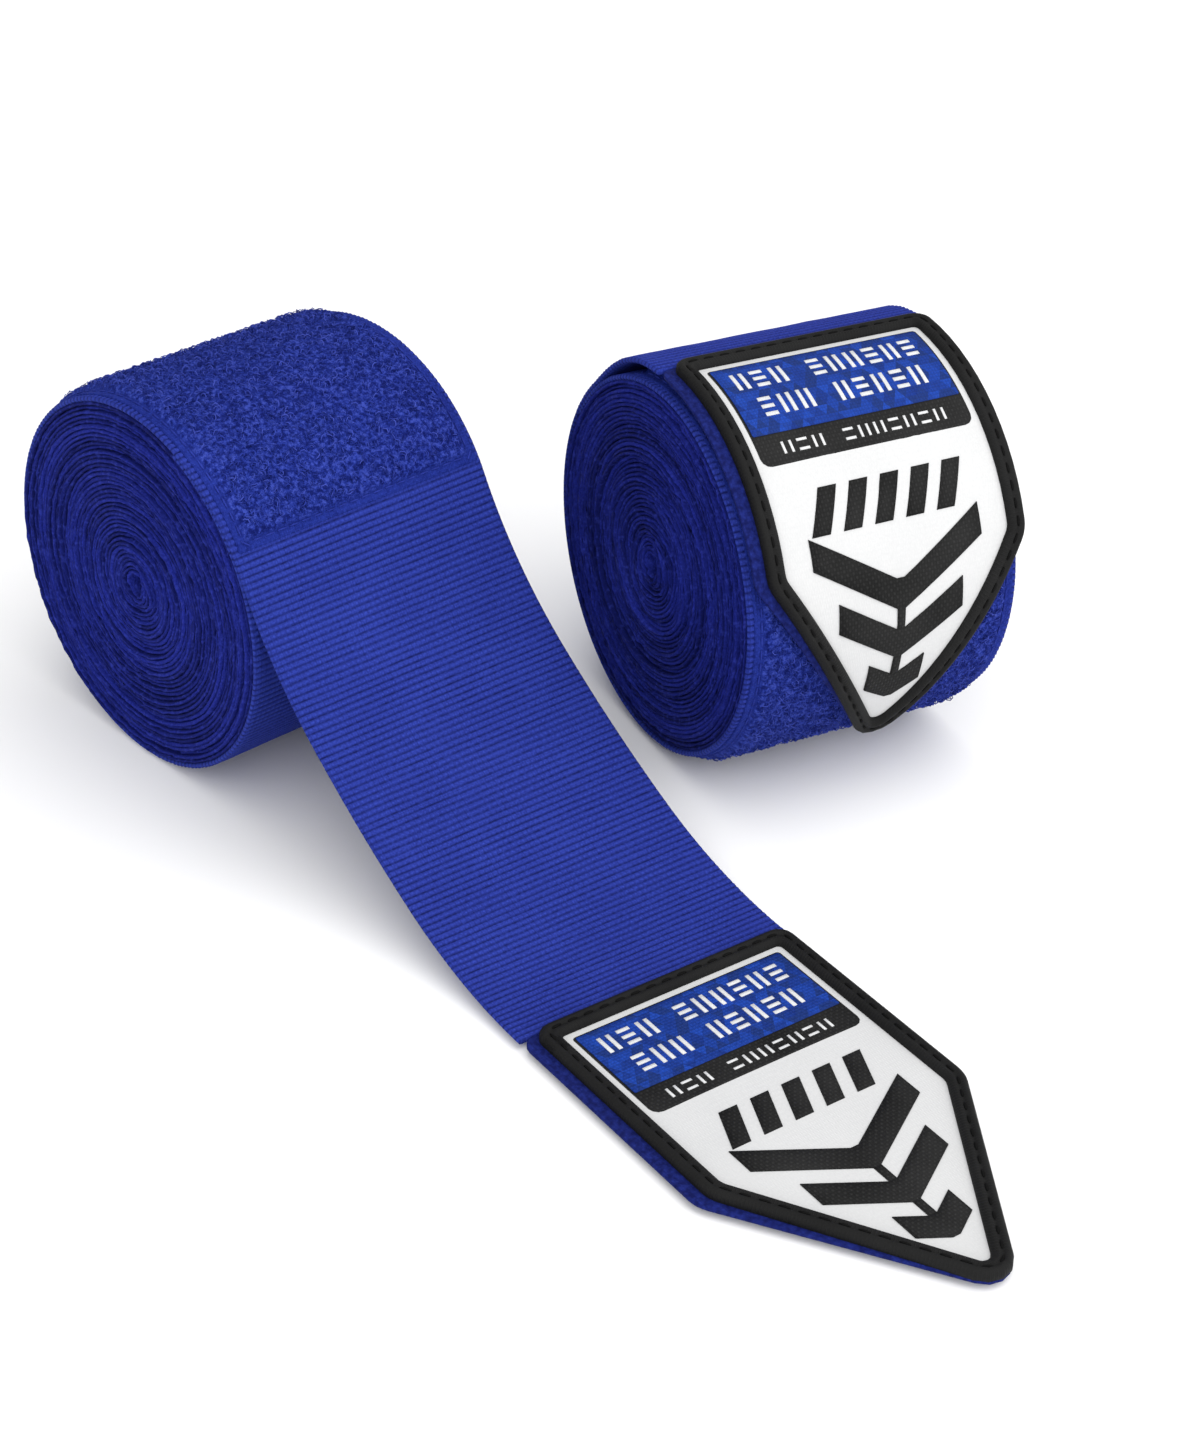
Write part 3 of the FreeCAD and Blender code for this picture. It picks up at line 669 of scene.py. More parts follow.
class Roll:
    """One wound wrap. Angles run from the top towards the front; radii reach the strip's outer face."""

    def __init__(self, near_end, axis, height, last_angle, last_radius, turns):
        self.axis = np.array([axis[0], axis[1], 0.0])
        self.back = np.array([-axis[1], axis[0], 0.0])
        self.origin = np.array([near_end[0], near_end[1], height])
        self.last_angle, self.last_radius, self.turns = last_angle, last_radius, turns

    def radius(self, angle):
        return self.last_radius - TURN_PITCH * (self.last_angle - angle) / TURN

    def outward(self, angle):
        angle = np.asarray(angle, float)[..., None]
        return UP * np.cos(angle) - self.back * np.sin(angle)

    def spot(self, across, angle, radius):
        across, radius = np.asarray(across, float)[..., None], np.asarray(radius, float)[..., None]
        return self.origin + self.axis * across + self.outward(angle) * radius

    def run(self, angle):
        """Length of strip from an angle to the roll's last angle, counted below zero."""
        return (angle - self.last_angle) * (self.last_radius + self.radius(angle)) / 2.0

    def stations(self, first, last):
        """Angles between two places, close enough to draw each rib, and the radius of the strip's middle."""
        angles = np.linspace(first, last, int((last - first) * self.last_radius / (RIB_PITCH / RIB_STEPS)))
        return angles, self.radius(angles) - THICK / 2.0


def place_roll(piece_angles, roll, middle):
    centres = roll.spot(np.full(len(piece_angles), WIDTH / 2.0), piece_angles, middle)
    across = np.broadcast_to(roll.axis, centres.shape)
    return centres, across, roll.outward(piece_angles)


def inner_turns(name, roll, last, seed):
    """All the turns but the outer one: uneven edges, a few of them standing proud of the rest."""
    rng = np.random.default_rng(seed)
    first = roll.last_angle - TURN * (roll.turns + CENTRE_TURNS)
    angles = [first]
    while angles[-1] < last:
        angles.append(angles[-1] + WOUND_STEP / max(roll.radius(angles[-1]), SHARPEST_TURN))
    angles[-1] = last
    angles = np.array(angles)
    turn = (angles - first) / TURN
    knots = (int(turn[-1]) + 3) * KNOTS_PER_TURN

    def per_turn(size):
        """Random steps that change a few times in each turn."""
        values = rng.normal(0.0, size, knots)
        return np.interp(turn, np.arange(knots) / KNOTS_PER_TURN, values)
    slide = per_turn(SLIDE_STEP) + SLIDE_WAVE * np.sin(angles * 2.0 + turn * 0.7) - SLIDE_BACK
    squeeze = per_turn(SQUEEZE) + SQUEEZE * np.sin(angles * 3.0 + turn * 0.4)
    section = strip_section(WIDTH, THICK * WOUND_SWELL, 2, 2)
    middle = roll.radius(angles) - THICK / 2.0 + squeeze * np.minimum(turn / TIGHT_TURNS, 1.0)
    outward = roll.outward(angles)
    centres = roll.spot(WIDTH / 2.0 + slide, angles, middle)
    n, k = len(angles), len(section)
    across = np.broadcast_to(roll.axis, centres.shape)
    shake = rng.normal(0.0, 1.0, (n, k, 2)) * np.array(EDGE_SHAKE)
    points = (centres[:, None] + across[:, None] * (section[None, :, 0, None] + shake[..., :1])
              + outward[:, None] * (section[None, :, 1, None] + shake[..., 1:]))
    sides = np.broadcast_to(section[None, :, 0], (n, k)).ravel()
    runs = np.broadcast_to(roll.run(angles)[:, None], (n, k)).ravel()
    # darkening that changes at random from turn to turn
    turn_darkening = np.clip(0.22 + per_turn(0.28), 0.0, 1.0)
    # painted shade along the edges where each turn meets its neighbours, away from the middle of its side
    seam = np.clip(0.55 + per_turn(0.35), 0.1, 1.0)
    off_middle = 1.0 - np.isclose(section[:, 1], 0.0)
    tone_and_crevice_shade = np.clip(turn_darkening[:, None] + seam[:, None] * off_middle[None, :], 0.0, 1.0)
    return face_out(make_object(name, points.reshape(-1, 3), tube_faces(n, k), np.stack([sides, runs], 1),
                                {"turn": tone_and_crevice_shade.ravel()}, edge_webbing))


def ribbed(name, centres, across, normals, along, columns=COLUMNS):
    section = strip_section(WIDTH, THICK, columns, UNDER_COLUMNS)
    return run_tree(ribbon(name, centres, across, normals, along, section), RIBS, cloth=webbing)


def wound_part(prefix, roll, last, join, seed, body):
    """The wound turns and the outer turn over them, as far as the place where the strip leaves."""
    first = last + OUTER
    inner = inner_turns(prefix + "wound_turns", roll, first, seed)
    angles, middle = roll.stations(first, join)
    outer = ribbed(prefix + "outer_turn", *place_roll(angles, roll, middle), roll.run(angles))
    settle(inner, body, prefix + "webbing_roll")
    settle(outer, body)
    float(roll.run(first) - roll.run(last - TURN * roll.turns))
    float(roll.run(join) - roll.run(first))


def pile_panel(prefix, roll, last, body):
    """Pile sewn on the outside of the strip: flat hems, a raised brushed middle, loops and its seam."""
    reach = roll.last_radius
    first = last - PILE_LENGTH / reach
    angles = np.linspace(first, last, int(PILE_LENGTH / PILE_STEP))
    half, hem = PILE_WIDTH / 2.0, PILE_HEM_POINTS
    inner = half - PILE_MARGIN
    us = np.concatenate([np.linspace(-half, -inner, hem), np.linspace(-inner, inner, PILE_POINTS)[1:-1],
                         np.linspace(inner, half, hem)])
    edge_u = np.clip((half - np.abs(us) - PILE_MARGIN * 0.6) / PILE_SLOPE, 0.0, 1.0)
    distance = np.minimum(angles - first, last - angles) * reach
    edge_v = np.clip((distance - PILE_MARGIN * 0.6) / PILE_SLOPE, 0.0, 1.0)
    tuft = np.minimum(edge_u[None, :], edge_v[:, None])
    tuft = tuft * tuft * (3.0 - 2.0 * tuft)
    n, k = tuft.shape
    surface = roll.radius(angles)[:, None]
    places = np.broadcast_to(us + WIDTH / 2.0, (n, k)), np.broadcast_to(angles[:, None], (n, k))
    top = roll.spot(*places, surface + PILE_BASE + PILE_DEPTH * tuft)
    under = roll.spot(*places, np.broadcast_to(surface + PILE_LIFT, (n, k)))
    skin = np.concatenate([top, under[:, ::-1]], 1)
    lift = roll.outward(angles)[:, None, :] * (HEM_NAP + (1.0 - HEM_NAP) * tuft[..., None])
    lift = np.concatenate([lift, np.zeros((n, k, 3))], 1)
    sides = np.broadcast_to(np.concatenate([us, us[::-1]]), (n, 2 * k))
    runs = np.broadcast_to(roll.run(angles)[:, None], (n, 2 * k))
    panel = face_out(make_object(prefix + "pile_cloth", skin.reshape(-1, 3), tube_faces(n, 2 * k),
                                 np.stack([sides.ravel(), runs.ravel()], 1), {"lift": lift.reshape(-1, 3)}))
    run_tree(panel, NAP, cloth=pile_cloth)

    margin = int(PILE_MARGIN / PILE_STEP) + 1
    raised = (slice(margin, n - margin), slice(hem, k - hem))
    rows, columns = n - 2 * margin, k - 2 * hem
    bed = make_object(prefix + "pile_loops", top[raised].reshape(-1, 3), grid_faces(rows, columns),
                      np.stack([sides[raised].ravel(), runs[raised].ravel()], 1))
    mesh = bmesh.new()
    mesh.from_mesh(bed.data)
    bmesh.ops.recalc_face_normals(mesh, faces=mesh.faces)
    centre = Vector(roll.spot(WIDTH / 2.0, (first + last) / 2.0, 0.0))
    mesh.faces.ensure_lookup_table()
    middle_face = mesh.faces[len(mesh.faces) // 2]
    if (middle_face.calc_center_median() - centre).dot(middle_face.normal) < 0:
        bmesh.ops.reverse_faces(mesh, faces=mesh.faces)
    mesh.to_mesh(bed.data)
    mesh.free()
    run_tree(bed, LOOPS, thread=pile_thread, loops_per_area=LOOP_DENSITY, loop_size=LOOP_SIZE, seed=SEED)

    line_u = half - SEAM_INSET
    step = SEAM_INSET / reach
    side_angles = np.linspace(first + step, last - step, 60)
    cross = np.linspace(-line_u, line_u, 24)
    path = [(-line_u, a) for a in side_angles] + [(u, last - step) for u in cross[1:]]
    path += [(line_u, a) for a in side_angles[::-1][1:]] + [(u, first + step) for u in cross[::-1][1:-1]]
    path = np.array(path)
    rise = roll.radius(path[:, 1]) + PILE_BASE + SEAM_RISE
    seam = stitch_line(prefix + "pile_stitches", roll.spot(path[:, 0] + WIDTH / 2.0, path[:, 1], rise),
                       blue_thread, *PILE_STITCH)
    settle(panel, body, prefix + "pile_panel")
    settle(bed, body)
    settle(seam, body, prefix + "pile_stitching")


def stitch_line(name, points, material, pitch, length, width, closed=True):
    mesh = bpy.data.meshes.new(name)
    n = len(points)
    edges = [(i, (i + 1) % n) for i in range(n if closed else n - 1)]
    mesh.from_pydata([tuple(p) for p in points], edges, [])
    obj = bpy.data.objects.new(name, mesh)
    bpy.context.scene.collection.objects.link(obj)
    return run_tree(obj, STITCHES, thread=material, stitch_pitch=pitch, stitch_length=length,
                    thread_width=width)


# ---------------------------------------------------------------- tail
class Tail:
    """How the open strip comes down from its roll to the floor."""

    def __init__(self, start, rest_height):
        self.start, self.length = np.array(start), 1.0
        self.length = (start[2] - rest_height) / self.at(1.0)[1]
        self.reach = self.at(1.0)[0]
        lean = self.reach * math.tan(TAB_YAW)
        self.square, self.cube = 3.0 * SIDE_DRIFT - lean, lean - 2.0 * SIDE_DRIFT

    def at(self, share):
        reach = drop = 0.0
        spans = len(TAIL_SLOPES) - 1
        span, slope = self.length / spans, TAIL_SLOPES[0]
        for i in range(spans):
            part = min(max(share * spans - i, 0.0), 1.0)
            bend = (TAIL_SLOPES[i] - TAIL_SLOPES[i + 1]) / span
            after = TAIL_SLOPES[i] - bend * span * part
            reach += (math.sin(TAIL_SLOPES[i]) - math.sin(after)) / bend
            drop += (math.cos(after) - math.cos(TAIL_SLOPES[i])) / bend
            slope = after if part > 0.0 else slope
        return reach, drop, slope

    def frame(self, share):
        reach, drop, slope = self.at(share)
        t = reach / self.reach
        yaw = math.atan((2.0 * self.square * t + 3.0 * self.cube * t * t) / self.reach)
        side = self.square * t * t + self.cube * t ** 3
        centre = self.start + np.array([-side, -reach, -drop])
        across = np.array([math.cos(yaw), -math.sin(yaw), 0.0])
        lean = math.sin(slope)
        normal = np.array([-math.sin(yaw) * lean, -math.cos(yaw) * lean, math.cos(slope)])
        return centre, across, normal

    def point(self, share):
        return tuple(self.frame(share)[0])

    def stations(self, first, last):
        count = int((last - first) * self.length / (RIB_PITCH / RIB_STEPS))
        shares = np.linspace(first, last, count)
        rows = [self.frame(s) for s in shares]
        return [np.array([r[i] for r in rows]) for i in range(3)] + [shares * self.length]


# ---------------------------------------------------------------- label tab
def rounded(points, radii, steps=5, sides=12):
    """Round each corner, then divide each straight side, always into the same number of points."""
    points = [np.array(p) for p in points]
    arcs = []
    for i, (here, radius) in enumerate(zip(points, radii)):
        a = points[i - 1] - here
        b = points[(i + 1) % len(points)] - here
        a, b = a / np.linalg.norm(a), b / np.linalg.norm(b)
        half = math.acos(np.clip(a @ b, -1, 1)) / 2.0
        middle = (a + b) / np.linalg.norm(a + b)
        centre = here + middle * radius / math.sin(half)
        first, last = (here + way * radius / math.tan(half) - centre for way in (a, b))
        sweep = math.pi - 2.0 * half
        shares = [(math.sin((1 - t) * sweep), math.sin(t * sweep)) for t in np.linspace(0, 1, steps)]
        arcs.append([centre + (first * p + last * q) / math.sin(sweep) for p, q in shares])
    result = []
    for i, arc in enumerate(arcs):
        after = arcs[(i + 1) % len(arcs)][0]
        result += arc + [arc[-1] + (after - arc[-1]) * t for t in np.linspace(0, 1, sides + 2)[1:-1]]
    return np.array(result)


def tab_outline(inset, near=0.0, start=0.0):
    """The pointed outline, moved in by an inset, with its near side drawn out and its start moved down."""
    half = LABEL_WIDTH / 2.0
    lean = math.atan2(LABEL_LENGTH - LABEL_SHOULDER, half)
    side, left = half - inset, half - inset + near
    shoulder = LABEL_SHOULDER + inset * (math.sin(lean) - 1.0) / math.cos(lean)
    tip = LABEL_LENGTH - inset / math.cos(lean)
    top = max(start, inset)
    points = [(-left, top), (side, top), (side, shoulder), (0.0, tip), (-left, shoulder)]
    rounds = (CORNER_ROUND, CORNER_ROUND, SHOULDER_ROUND, TIP_ROUND, SHOULDER_ROUND)
    radii = [max(edge * MM - inset * share, least * MM) for edge, share, least in rounds]
    return rounded(points, radii) + np.array([LABEL_OFFSET, 0.0])


def box_outline(half, first, last, near_radius, far_radius, sides):
    points = [(-half, first), (half, first), (half, last), (-half, last)]
    radii = [near_radius, near_radius, far_radius, far_radius]
    return rounded(points, radii, 4, sides) + np.array([LABEL_OFFSET, 0.0])


class FlatTab:
    """Where the open tab lies: places are (across, along, height) on the label."""

    def __init__(self, origin, yaw):
        self.origin = np.array(origin)
        self.across = np.array([math.cos(yaw), -math.sin(yaw), 0.0])
        self.along = np.array([-math.sin(yaw), -math.cos(yaw), 0.0])

    def place(self, spots):
        spots = np.asarray(spots)
        return self.origin + spots[..., :1] * self.across + spots[..., 1:2] * self.along + spots[..., 2:] * UP


class CurvedTab:
    """Where the closed tab lies, round its roll, with its point standing a little off the pile."""

    def __init__(self, roll, radius, start):
        self.roll, self.radius, self.start = roll, radius, start

    def place(self, spots):
        spots = np.asarray(spots)
        angle = self.start + spots[..., 1] / self.radius
        lift = np.clip((spots[..., 1] - POINT_RISE_START) / POINT_RISE_LENGTH, 0.0, 1.0) ** 2 * POINT_RISE
        return self.roll.spot(spots[..., 0] + WIDTH / 2.0, angle, self.radius + spots[..., 2] + lift)


def cut_area(outline):
    x, y = outline[:, 0], outline[:, 1]
    return abs(np.dot(x, np.roll(y, 1)) - np.dot(y, np.roll(x, 1))) / 2.0


def with_height(outline, height):
    return np.concatenate([outline, np.full((len(outline), 1), height)], 1)


def shell(name, tab, rows, material):
    """Join rows of equal outlines into one closed skin; the first and last close on their middles."""
    k, count = len(rows[0]), len(rows) * len(rows[0])
    spots = np.concatenate(rows + [rows[0].mean(0, keepdims=True), rows[-1].mean(0, keepdims=True)])
    faces = grid_faces(len(rows), k, wrap_columns=True)
    faces += [((j + 1) % k, j, count) for j in range(k)]
    faces += [(count - k + j, count - k + (j + 1) % k, count + 1) for j in range(k)]
    return face_out(make_object(name, tab.place(spots), faces, spots[:, :2], None, material))


def shrink(outline, share, height):
    middle = outline.mean(0)
    return with_height(middle + (outline - middle) * share, height)


def slab(name, tab, outline, low, high, material, crown=0.0):
    """A flat cloth of the outline's shape, with softened edges and, for a crown, a raised middle."""
    rows = [shrink(outline, share, low) for share in SHARES]
    rows += [shrink(outline, 0.99, low), with_height(outline, low + SOFT_EDGE)]
    rows += [with_height(outline, high - SOFT_EDGE), shrink(outline, 0.99, high)]
    rows += [shrink(outline, share, high + crown * (1.0 - share ** 3)) for share in SHARES[::-1]]
    return shell(name, tab, rows, material)


def border_ring(name, tab):
    """The rounded overlocked rim, with a sunk sewing line round it."""
    rows = [with_height(tab_outline(inset * MM), THICK + height * MM) for inset, height in RIM_SECTION]
    k = len(rows[0])
    run = np.concatenate([[0.0], np.cumsum(np.linalg.norm(np.diff(rows[0][:, :2], axis=0), axis=1))])
    cloth = np.concatenate([np.stack([run, np.full(k, row[0, 0] + 0.1)], 1) for row in rows])
    faces = grid_faces(len(rows), k, wrap_columns=True, wrap_rows=True)
    return face_out(make_object(name, tab.place(np.concatenate(rows)), faces, cloth, None, black_thread))


def bars(name, tab, cells, low, high, material):
    """Several small flat marks as one piece; a cell is (left, right, start, end, slant)."""
    points, faces = [], []
    for u0, u1, v0, v1, slant in cells:
        columns = max(int((u1 - u0) / BAR_GRID[0]), 1) + 1
        rows = max(int((v1 - v0) / BAR_GRID[1]), 1) + 1
        centre_u, centre_v = (u0 + u1) / 2.0, (v0 + v1) / 2.0
        faces += block_faces(len(points), rows, columns)
        for height, inset in ((low, 0.0), (high, BAR_TAPER)):
            for v in np.linspace(v0, v1, rows):
                for u in np.linspace(u0, u1, columns):
                    x = centre_u + (u - centre_u) * (1 - 2 * inset / (u1 - u0)) + slant * (centre_v - v)
                    y = centre_v + (v - centre_v) * (1 - 2 * inset / (v1 - v0))
                    points.append((x + LABEL_OFFSET, y, height))
    points = np.array(points)
    return face_out(make_object(name, tab.place(points), faces, points[:, :2], None, material))


def feather(name, tab, low, high):
    """A plain arrow-feather mark: swept arms on a short spine, following the label's point."""
    lean = (LABEL_WIDTH / 2.0 - MARK_SIDE_GAP) / (LABEL_LENGTH - LABEL_SHOULDER)
    bands = []
    for i in range(MARK_ARMS):
        root = MARK_START + i * MARK_STEP
        room = LABEL_LENGTH - MARK_TIP_GAP - MARK_ARM - root
        reach = min(MARK_REACH, lean * (room - MARK_SLOPE * MARK_SPINE) / (1.0 - lean * MARK_SLOPE))
        bands.append((root, MARK_ARM, reach))
        if i < MARK_ARMS - 1:
            bands.append((root + MARK_ARM, MARK_STEP - MARK_ARM, MARK_SPINE))
    points, faces, cloth = [], [], []
    for root, tone_and_crevice_shade, reach in bands:
        us = np.linspace(-MARK_SPINE, MARK_SPINE, 3)
        if reach > MARK_SPINE:
            side = np.linspace(MARK_SPINE, reach, 6)[1:]
            us = np.concatenate([-side[::-1], us, side])
        rows = np.linspace(0.0, tone_and_crevice_shade, 4)
        faces += block_faces(len(points), len(rows), len(us))
        for height in (low, high):
            for row in rows:
                for u in us:
                    v = root - MARK_SLOPE * max(abs(u) - MARK_SPINE, 0.0) + row
                    points.append((u + LABEL_OFFSET, v, height))
                    cloth.append((u, v))
    return face_out(make_object(name, tab.place(np.array(points)), faces, cloth, None, black_weave))


def hook_field(name, tab, low):
    """Rows of small stiff hooks under the tab."""
    spots, faces = [], []
    reach = tab_outline(HOOK_ROWS_INSET, start=HOOK_ROWS_START)[:, 0].max() - LABEL_OFFSET
    v, row = HOOK_ROWS_START, 0
    while v < LABEL_LENGTH - HOOK_ROWS_END:
        point = (LABEL_LENGTH - HOOK_ROWS_POINT - v) * (LABEL_WIDTH / 2.0) / (LABEL_LENGTH - LABEL_SHOULDER)
        limit = min(reach, point)
        u = -limit + (0.5 * HOOK_PITCH if row % 2 else 0.0)
        while u <= limit:
            base = len(spots)
            for height, shift, size in HOOK_SHAPE:
                for a in range(4):
                    spots.append((u + LABEL_OFFSET + size * MM * math.cos(a * math.pi / 2),
                                  v + shift * MM + size * MM * math.sin(a * math.pi / 2), low + height * MM))
            for level in range(len(HOOK_SHAPE) - 1):
                for a in range(4):
                    p, q = base + level * 4 + a, base + level * 4 + (a + 1) % 4
                    faces.append((p, q, q + 4, p + 4))
            faces += [(base, base + 3, base + 2, base + 1), (base + 12, base + 13, base + 14, base + 15)]
            u += HOOK_PITCH
        v += HOOK_PITCH
        row += 1
    spots = np.array(spots)
    return face_out(make_object(name, tab.place(spots), faces, spots[:, :2], None, hook_nylon))


def woven_marks(rows):
    """Rows of plain ticks: each place is two uprights (u) or two or three short bars (2, 3)."""
    cells = []
    for v0, v1, pattern, width, stroke, gap in rows:
        u = -(len(pattern) * width + gap * (len(pattern) - 1)) / 2.0
        for kind in pattern:
            if kind == "u":
                cells += [(u, u + stroke, v0, v1), (u + width - stroke, u + width, v0, v1)]
            elif kind in "23":
                for i in range(int(kind)):
                    v = v0 + (v1 - v0 - stroke) * i / (int(kind) - 1)
                    cells.append((u, u + width, v, v + stroke))
            u += width + gap
    return [(a * MM, b * MM, c * MM, d * MM, 0.0) for a, b, c, d in cells]


def label_tab(prefix, tab, body):
    """The pointed tab: its cloth, the satin label and all it carries, the rim, and the hooks underneath."""
    cloth = tab_outline(CLOTH_INSET, near=WIDTH / 2.0 - LABEL_WIDTH / 2.0 + LABEL_OFFSET)
    squared = (cloth[:, 1] - CLOTH_INSET) * CLOTH_SQUARE / (CLOTH_SQUARE - CLOTH_INSET)
    cloth[:, 1] = np.where(cloth[:, 1] < CLOTH_SQUARE, squared, cloth[:, 1])
    satin, hook = tab_outline(BORDER_WIDTH - SATIN_TUCK), tab_outline(HOOK_INSET, start=HOOK_START)
    half, edge = LABEL_WIDTH / 2.0 - PANEL_INSET, FRAME_EDGE
    frame_line = box_outline(half + edge, PANEL_INSET - edge, STRIP_END, *FRAME_RADII, FRAME_SIDES)
    panel_line = box_outline(half, PANEL_INSET, PANEL_END, *PANEL_RADII, PANEL_SIDES)
    lefts = [BAR_START + i * BAR_STEP for i in range(BAR_COUNT)]
    slants = [(left * MM, (left + BAR_WIDTH) * MM, *BAR_SPAN, BAR_SLANT) for left in lefts]
    rim_line = tab.place(with_height(tab_outline(RIM_SEAM_INSET), THICK + RIM_SEAM_HEIGHT))
    hook_line = tab.place(with_height(tab_outline(HOOK_SEAM_INSET, start=HOOK_SEAM_START), HOOK_SEAM_HEIGHT))

    made = {}

    def keep(key, make, *values, slot, node=None, **named):
        made[key] = make(prefix + key, *values, **named)
        settle(made[key], body, node and prefix + node)
    keep("tab_cloth", slab, tab, cloth, 0.0, THICK, webbing, slot="webbing", node="tab_webbing")
    keep("label_satin", slab, tab, satin, *SATIN_LEVELS, white_satin, SATIN_CROWN, slot="white_satin",
         node="label_field")
    keep("label_rim", border_ring, tab, slot="black_thread", node="label_border")
    keep("label_frame", slab, tab, frame_line, SATIN_TOP, ART_TOP, black_weave, slot="black_thread",
         node="label_strip")
    keep("label_facets", slab, tab, panel_line, *FACET_LEVELS, blue_facets, slot="blue_weave",
         node="label_panel")
    keep("label_feather", feather, tab, *MARK_LEVELS, slot="black_thread", node="label_mark")
    keep("hook_cloth", slab, tab, hook, *HOOK_LEVELS, hook_nylon, slot="hook_tape", node="hook_panel")
    keep("hook_rows", hook_field, tab, HOOK_ROOT, slot="hook_tape")
    keep("label_dashes", bars, tab, woven_marks(DASH_ROWS), *DASH_LEVELS, white_print, slot="white_satin")
    keep("label_ticks", bars, tab, woven_marks(TICK_ROWS), *TICK_LEVELS, white_print, slot="white_satin")
    keep("label_bars", bars, tab, slants, *MARK_LEVELS, black_weave, slot="black_thread")
    keep("rim_stitches", stitch_line, rim_line, dark_thread, *RIM_STITCH, slot="dark_thread",
         node="border_stitching")
    keep("hook_stitches", stitch_line, hook_line, blue_thread, *HOOK_STITCH, slot="blue_thread",
         node="hook_stitching")

    cut_area(tab_outline(CLOTH_INSET)) + (WIDTH - LABEL_WIDTH) * LABEL_SHOULDER


def core(prefix, roll, body):
    """The thumb loop wound in the middle, and the bar tack that holds it."""
    start = roll.last_angle - TURN * (roll.turns + CENTRE_TURNS)
    angles = np.linspace(start - LOOP_TURNS * TURN, start - LOOP_END, LOOP_POINTS)
    centres = roll.spot(np.full(LOOP_POINTS, WIDTH / 2.0), angles, np.linspace(*LOOP_RADII, LOOP_POINTS))
    across = np.broadcast_to(roll.axis, centres.shape)
    loop = ribbon(prefix + "thumb_tape", centres, across, roll.outward(angles), angles * 0.88 * MM,
                  strip_section(LOOP_WIDTH, LOOP_THICK, 12, 8))
    run_tree(loop, RIBS, cloth=webbing, rib_height=LOOP_RIB)
    zig = start + TACK_SWING * np.where(np.arange(TACK_POINTS) % 2, -1.0, 1.0)
    spots = roll.spot(WIDTH / 2.0 + np.linspace(-1, 1, TACK_POINTS) * TACK_HALF, zig,
                      np.full(TACK_POINTS, TACK_RADIUS))
    tack = stitch_line(prefix + "thumb_tack", spots, dark_thread, *TACK_STITCH, closed=False)
    settle(loop, body, prefix + "thumb_loop")
    settle(tack, body, prefix + "thumb_loop_tack")


# ---------------------------------------------------------------- the two wraps
def open_wrap():
    """The wrap whose strip comes down off its roll to the label lying on the floor."""
    hinge = np.array(joint("open_tail_lift")["pos_m"])
    low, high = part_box("open_webbing_roll")
    radius = ((high[2] - low[2]) + TURN_PITCH / 2.0) / 2.0
    near_end = (low[0], hinge[1] + radius * math.sin(LEAVE_ANGLE))
    roll = Roll(near_end, (1.0, 0.0), high[2] - radius, LEAVE_ANGLE, radius, OPEN_TURNS)
    start = hinge - roll.outward(LEAVE_ANGLE) * THICK / 2.0
    start[0] = low[0] + WIDTH / 2.0
    tail = Tail(start, TAB_LIFT + THICK / 2.0)

    wound_part("open_", roll, LEAVE_ANGLE, OPEN_JOIN, OPEN_SEED, "open_roll")
    angles, middle = roll.stations(OPEN_JOIN, LEAVE_ANGLE)
    on_roll = [*place_roll(angles[:-1], roll, middle[:-1]), roll.run(angles[:-1])]
    upper = [np.concatenate(pair) for pair in zip(on_roll, tail.stations(0.0, HALF_WAY))]
    leaving = ribbed("open_leaving_strip", *upper, columns=FINE_COLUMNS)
    laying = ribbed("open_laying_strip", *tail.stations(HALF_WAY, 1.0), columns=FINE_COLUMNS)
    settle(leaving, node="open_tail_webbing")
    settle(laying)
    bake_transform(leaving)
    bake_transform(laying)
    float(tail.length * HALF_WAY - roll.run(OPEN_JOIN))

    pile_panel("open_", roll, LEAVE_ANGLE - PILE_END_GAP / radius, "open_roll")
    core("open_", roll, "open_roll")
    label_tab("open_", FlatTab((*tail.point(1.0)[:2], TAB_LIFT), TAB_YAW), "open_tab")


def closed_wrap():
    """The wrap held shut by its tab, which climbs over the pile from the last turn."""
    peel = joint("closed_flap_peel")
    axis = -np.array(peel["axis"])
    back = np.array([-axis[1], axis[0], 0.0])
    last = CLOSED_LABEL_ANGLE - CLOSED_LEAD / CLOSED_RADIUS
    sideways = back * (CLOSED_TAB_RADIUS + THICK) * math.sin(last)
    near_end = np.array(peel["pos_m"]) - axis * WIDTH / 2.0 + sideways
    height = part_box("closed_webbing_roll")[0][2] + CLOSED_RADIUS - TURN_PITCH / 2.0
    roll = Roll(near_end, axis, height, last, CLOSED_RADIUS, CLOSED_TURNS)

    wound_part("closed_", roll, last, last + CLIMB, CLOSED_SEED, "closed_roll")
    angles, middle = roll.stations(last + CLIMB, CLOSED_LABEL_ANGLE)
    share = np.clip((angles - angles[0]) / (last + CLIMB_END - angles[0]), 0.0, 1.0)
    rise = share * share * (3.0 - 2.0 * share)
    middle = middle * (1.0 - rise) + (CLOSED_TAB_RADIUS + THICK / 2.0) * rise
    climbing = ribbed("closed_climbing_strip", *place_roll(angles, roll, middle), roll.run(angles),
                      columns=FINE_COLUMNS)
    settle(climbing)
    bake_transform(climbing)
    climb = float(roll.run(CLOSED_LABEL_ANGLE) - roll.run(last + CLIMB))

    pile_panel("closed_", roll, CLOSED_SEAM - TURN, "closed_roll")
    core("closed_", roll, "closed_roll")
    label_tab("closed_", CurvedTab(roll, CLOSED_TAB_RADIUS, CLOSED_LABEL_ANGLE), "closed_flap")


# ---------------------------------------------------------------- floor, light and camera
FLOOR_HALF, FLOOR_DROP = 3.0, 0.0002
ROOM_LIGHT = 0.60
LAMP_AIM = (0.0, 0.0, 0.02)
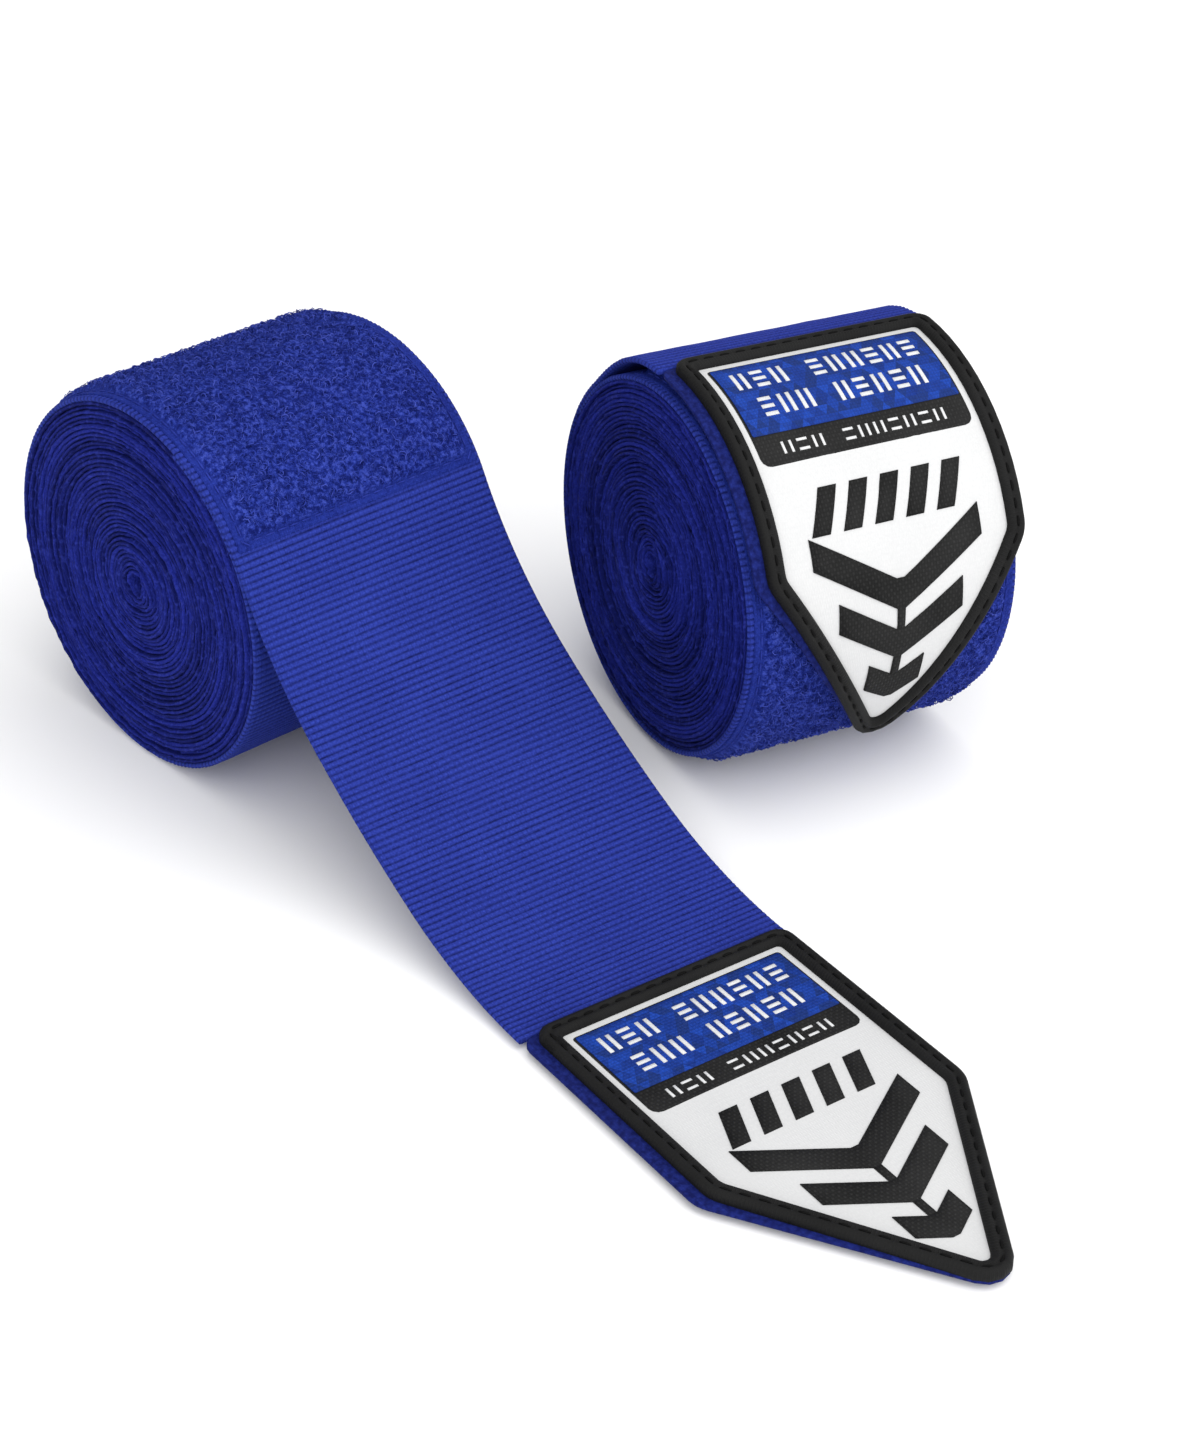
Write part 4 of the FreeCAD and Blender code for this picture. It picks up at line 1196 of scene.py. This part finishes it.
# Soft lamps: (name, place, size, power)
LAMPS = (("Key", (0.15, -0.25, 1.05), 1.5, 10.0), ("Fill", (0.5, -1.0, 0.55), 1.0, 4.8),
         ("Left", (-0.95, -0.5, 0.6), 1.1, 6.8), ("Front", (-0.45, -1.0, 0.4), 0.8, 2.4))
VIEW_SPOT, VIEW_AIM, VIEW_ROLL = (-0.30560, -0.28906, 0.29033), (0.58789, 0.59834, -0.54440), 0.0465
VIEW_SENSOR, VIEW_LENS = 36.0, 36.0 * 3132.2 / 1440.0


def studio():
    floor_mesh = bpy.data.meshes.new("floor")
    corners = [(x * FLOOR_HALF, y * FLOOR_HALF, 0) for x, y in ((-1, -1), (1, -1), (1, 1), (-1, 1))]
    floor_mesh.from_pydata(corners, [], [(0, 1, 2, 3)])
    floor = bpy.data.objects.new("floor", floor_mesh)
    floor.location.z = -FLOOR_DROP
    bpy.context.scene.collection.objects.link(floor)
    paper = bpy.data.materials.new("Pale paper")
    paper.use_nodes = True
    shader = paper.node_tree.nodes["Principled BSDF"]
    shader.inputs["Base Color"].default_value = (0.9, 0.9, 0.9, 1.0)
    shader.inputs["Roughness"].default_value = 0.9
    shader.inputs["Specular IOR Level"].default_value = 0.1
    floor_mesh.materials.append(paper)
    world = bpy.data.worlds.new("Soft room")
    bpy.context.scene.world = world
    world.use_nodes = True
    world.node_tree.nodes["Background"].inputs[0].default_value = (1.0, 1.0, 1.0, 1.0)
    world.node_tree.nodes["Background"].inputs[1].default_value = ROOM_LIGHT
    for name, spot, size, power in LAMPS:
        light = bpy.data.lights.new(name, "AREA")
        light.energy, light.size = power, size
        lamp = bpy.data.objects.new(name, light)
        lamp.location = spot
        lamp.rotation_euler = (Vector(LAMP_AIM) - Vector(spot)).to_track_quat("-Z", "Y").to_euler()
        bpy.context.scene.collection.objects.link(lamp)
    bpy.context.scene.view_settings.view_transform = "Standard"


def camera():
    data = bpy.data.cameras.new("View")
    data.sensor_fit = "VERTICAL"
    data.sensor_height, data.lens = VIEW_SENSOR, VIEW_LENS
    view = bpy.data.objects.new("View", data)
    spot, forward = Vector(VIEW_SPOT), Vector(VIEW_AIM).normalized()
    right = forward.cross(Vector((0, 0, 1))).normalized()
    above = right.cross(forward)
    side = right * math.cos(VIEW_ROLL) + above * math.sin(VIEW_ROLL)
    top = above * math.cos(VIEW_ROLL) - right * math.sin(VIEW_ROLL)
    view.matrix_world = Matrix([(*row,) for row in zip(side, top, -forward, spot)] + [(0, 0, 0, 1)])
    bpy.context.scene.collection.objects.link(view)
    bpy.context.scene.camera = view


open_wrap()
closed_wrap()
studio()
camera()
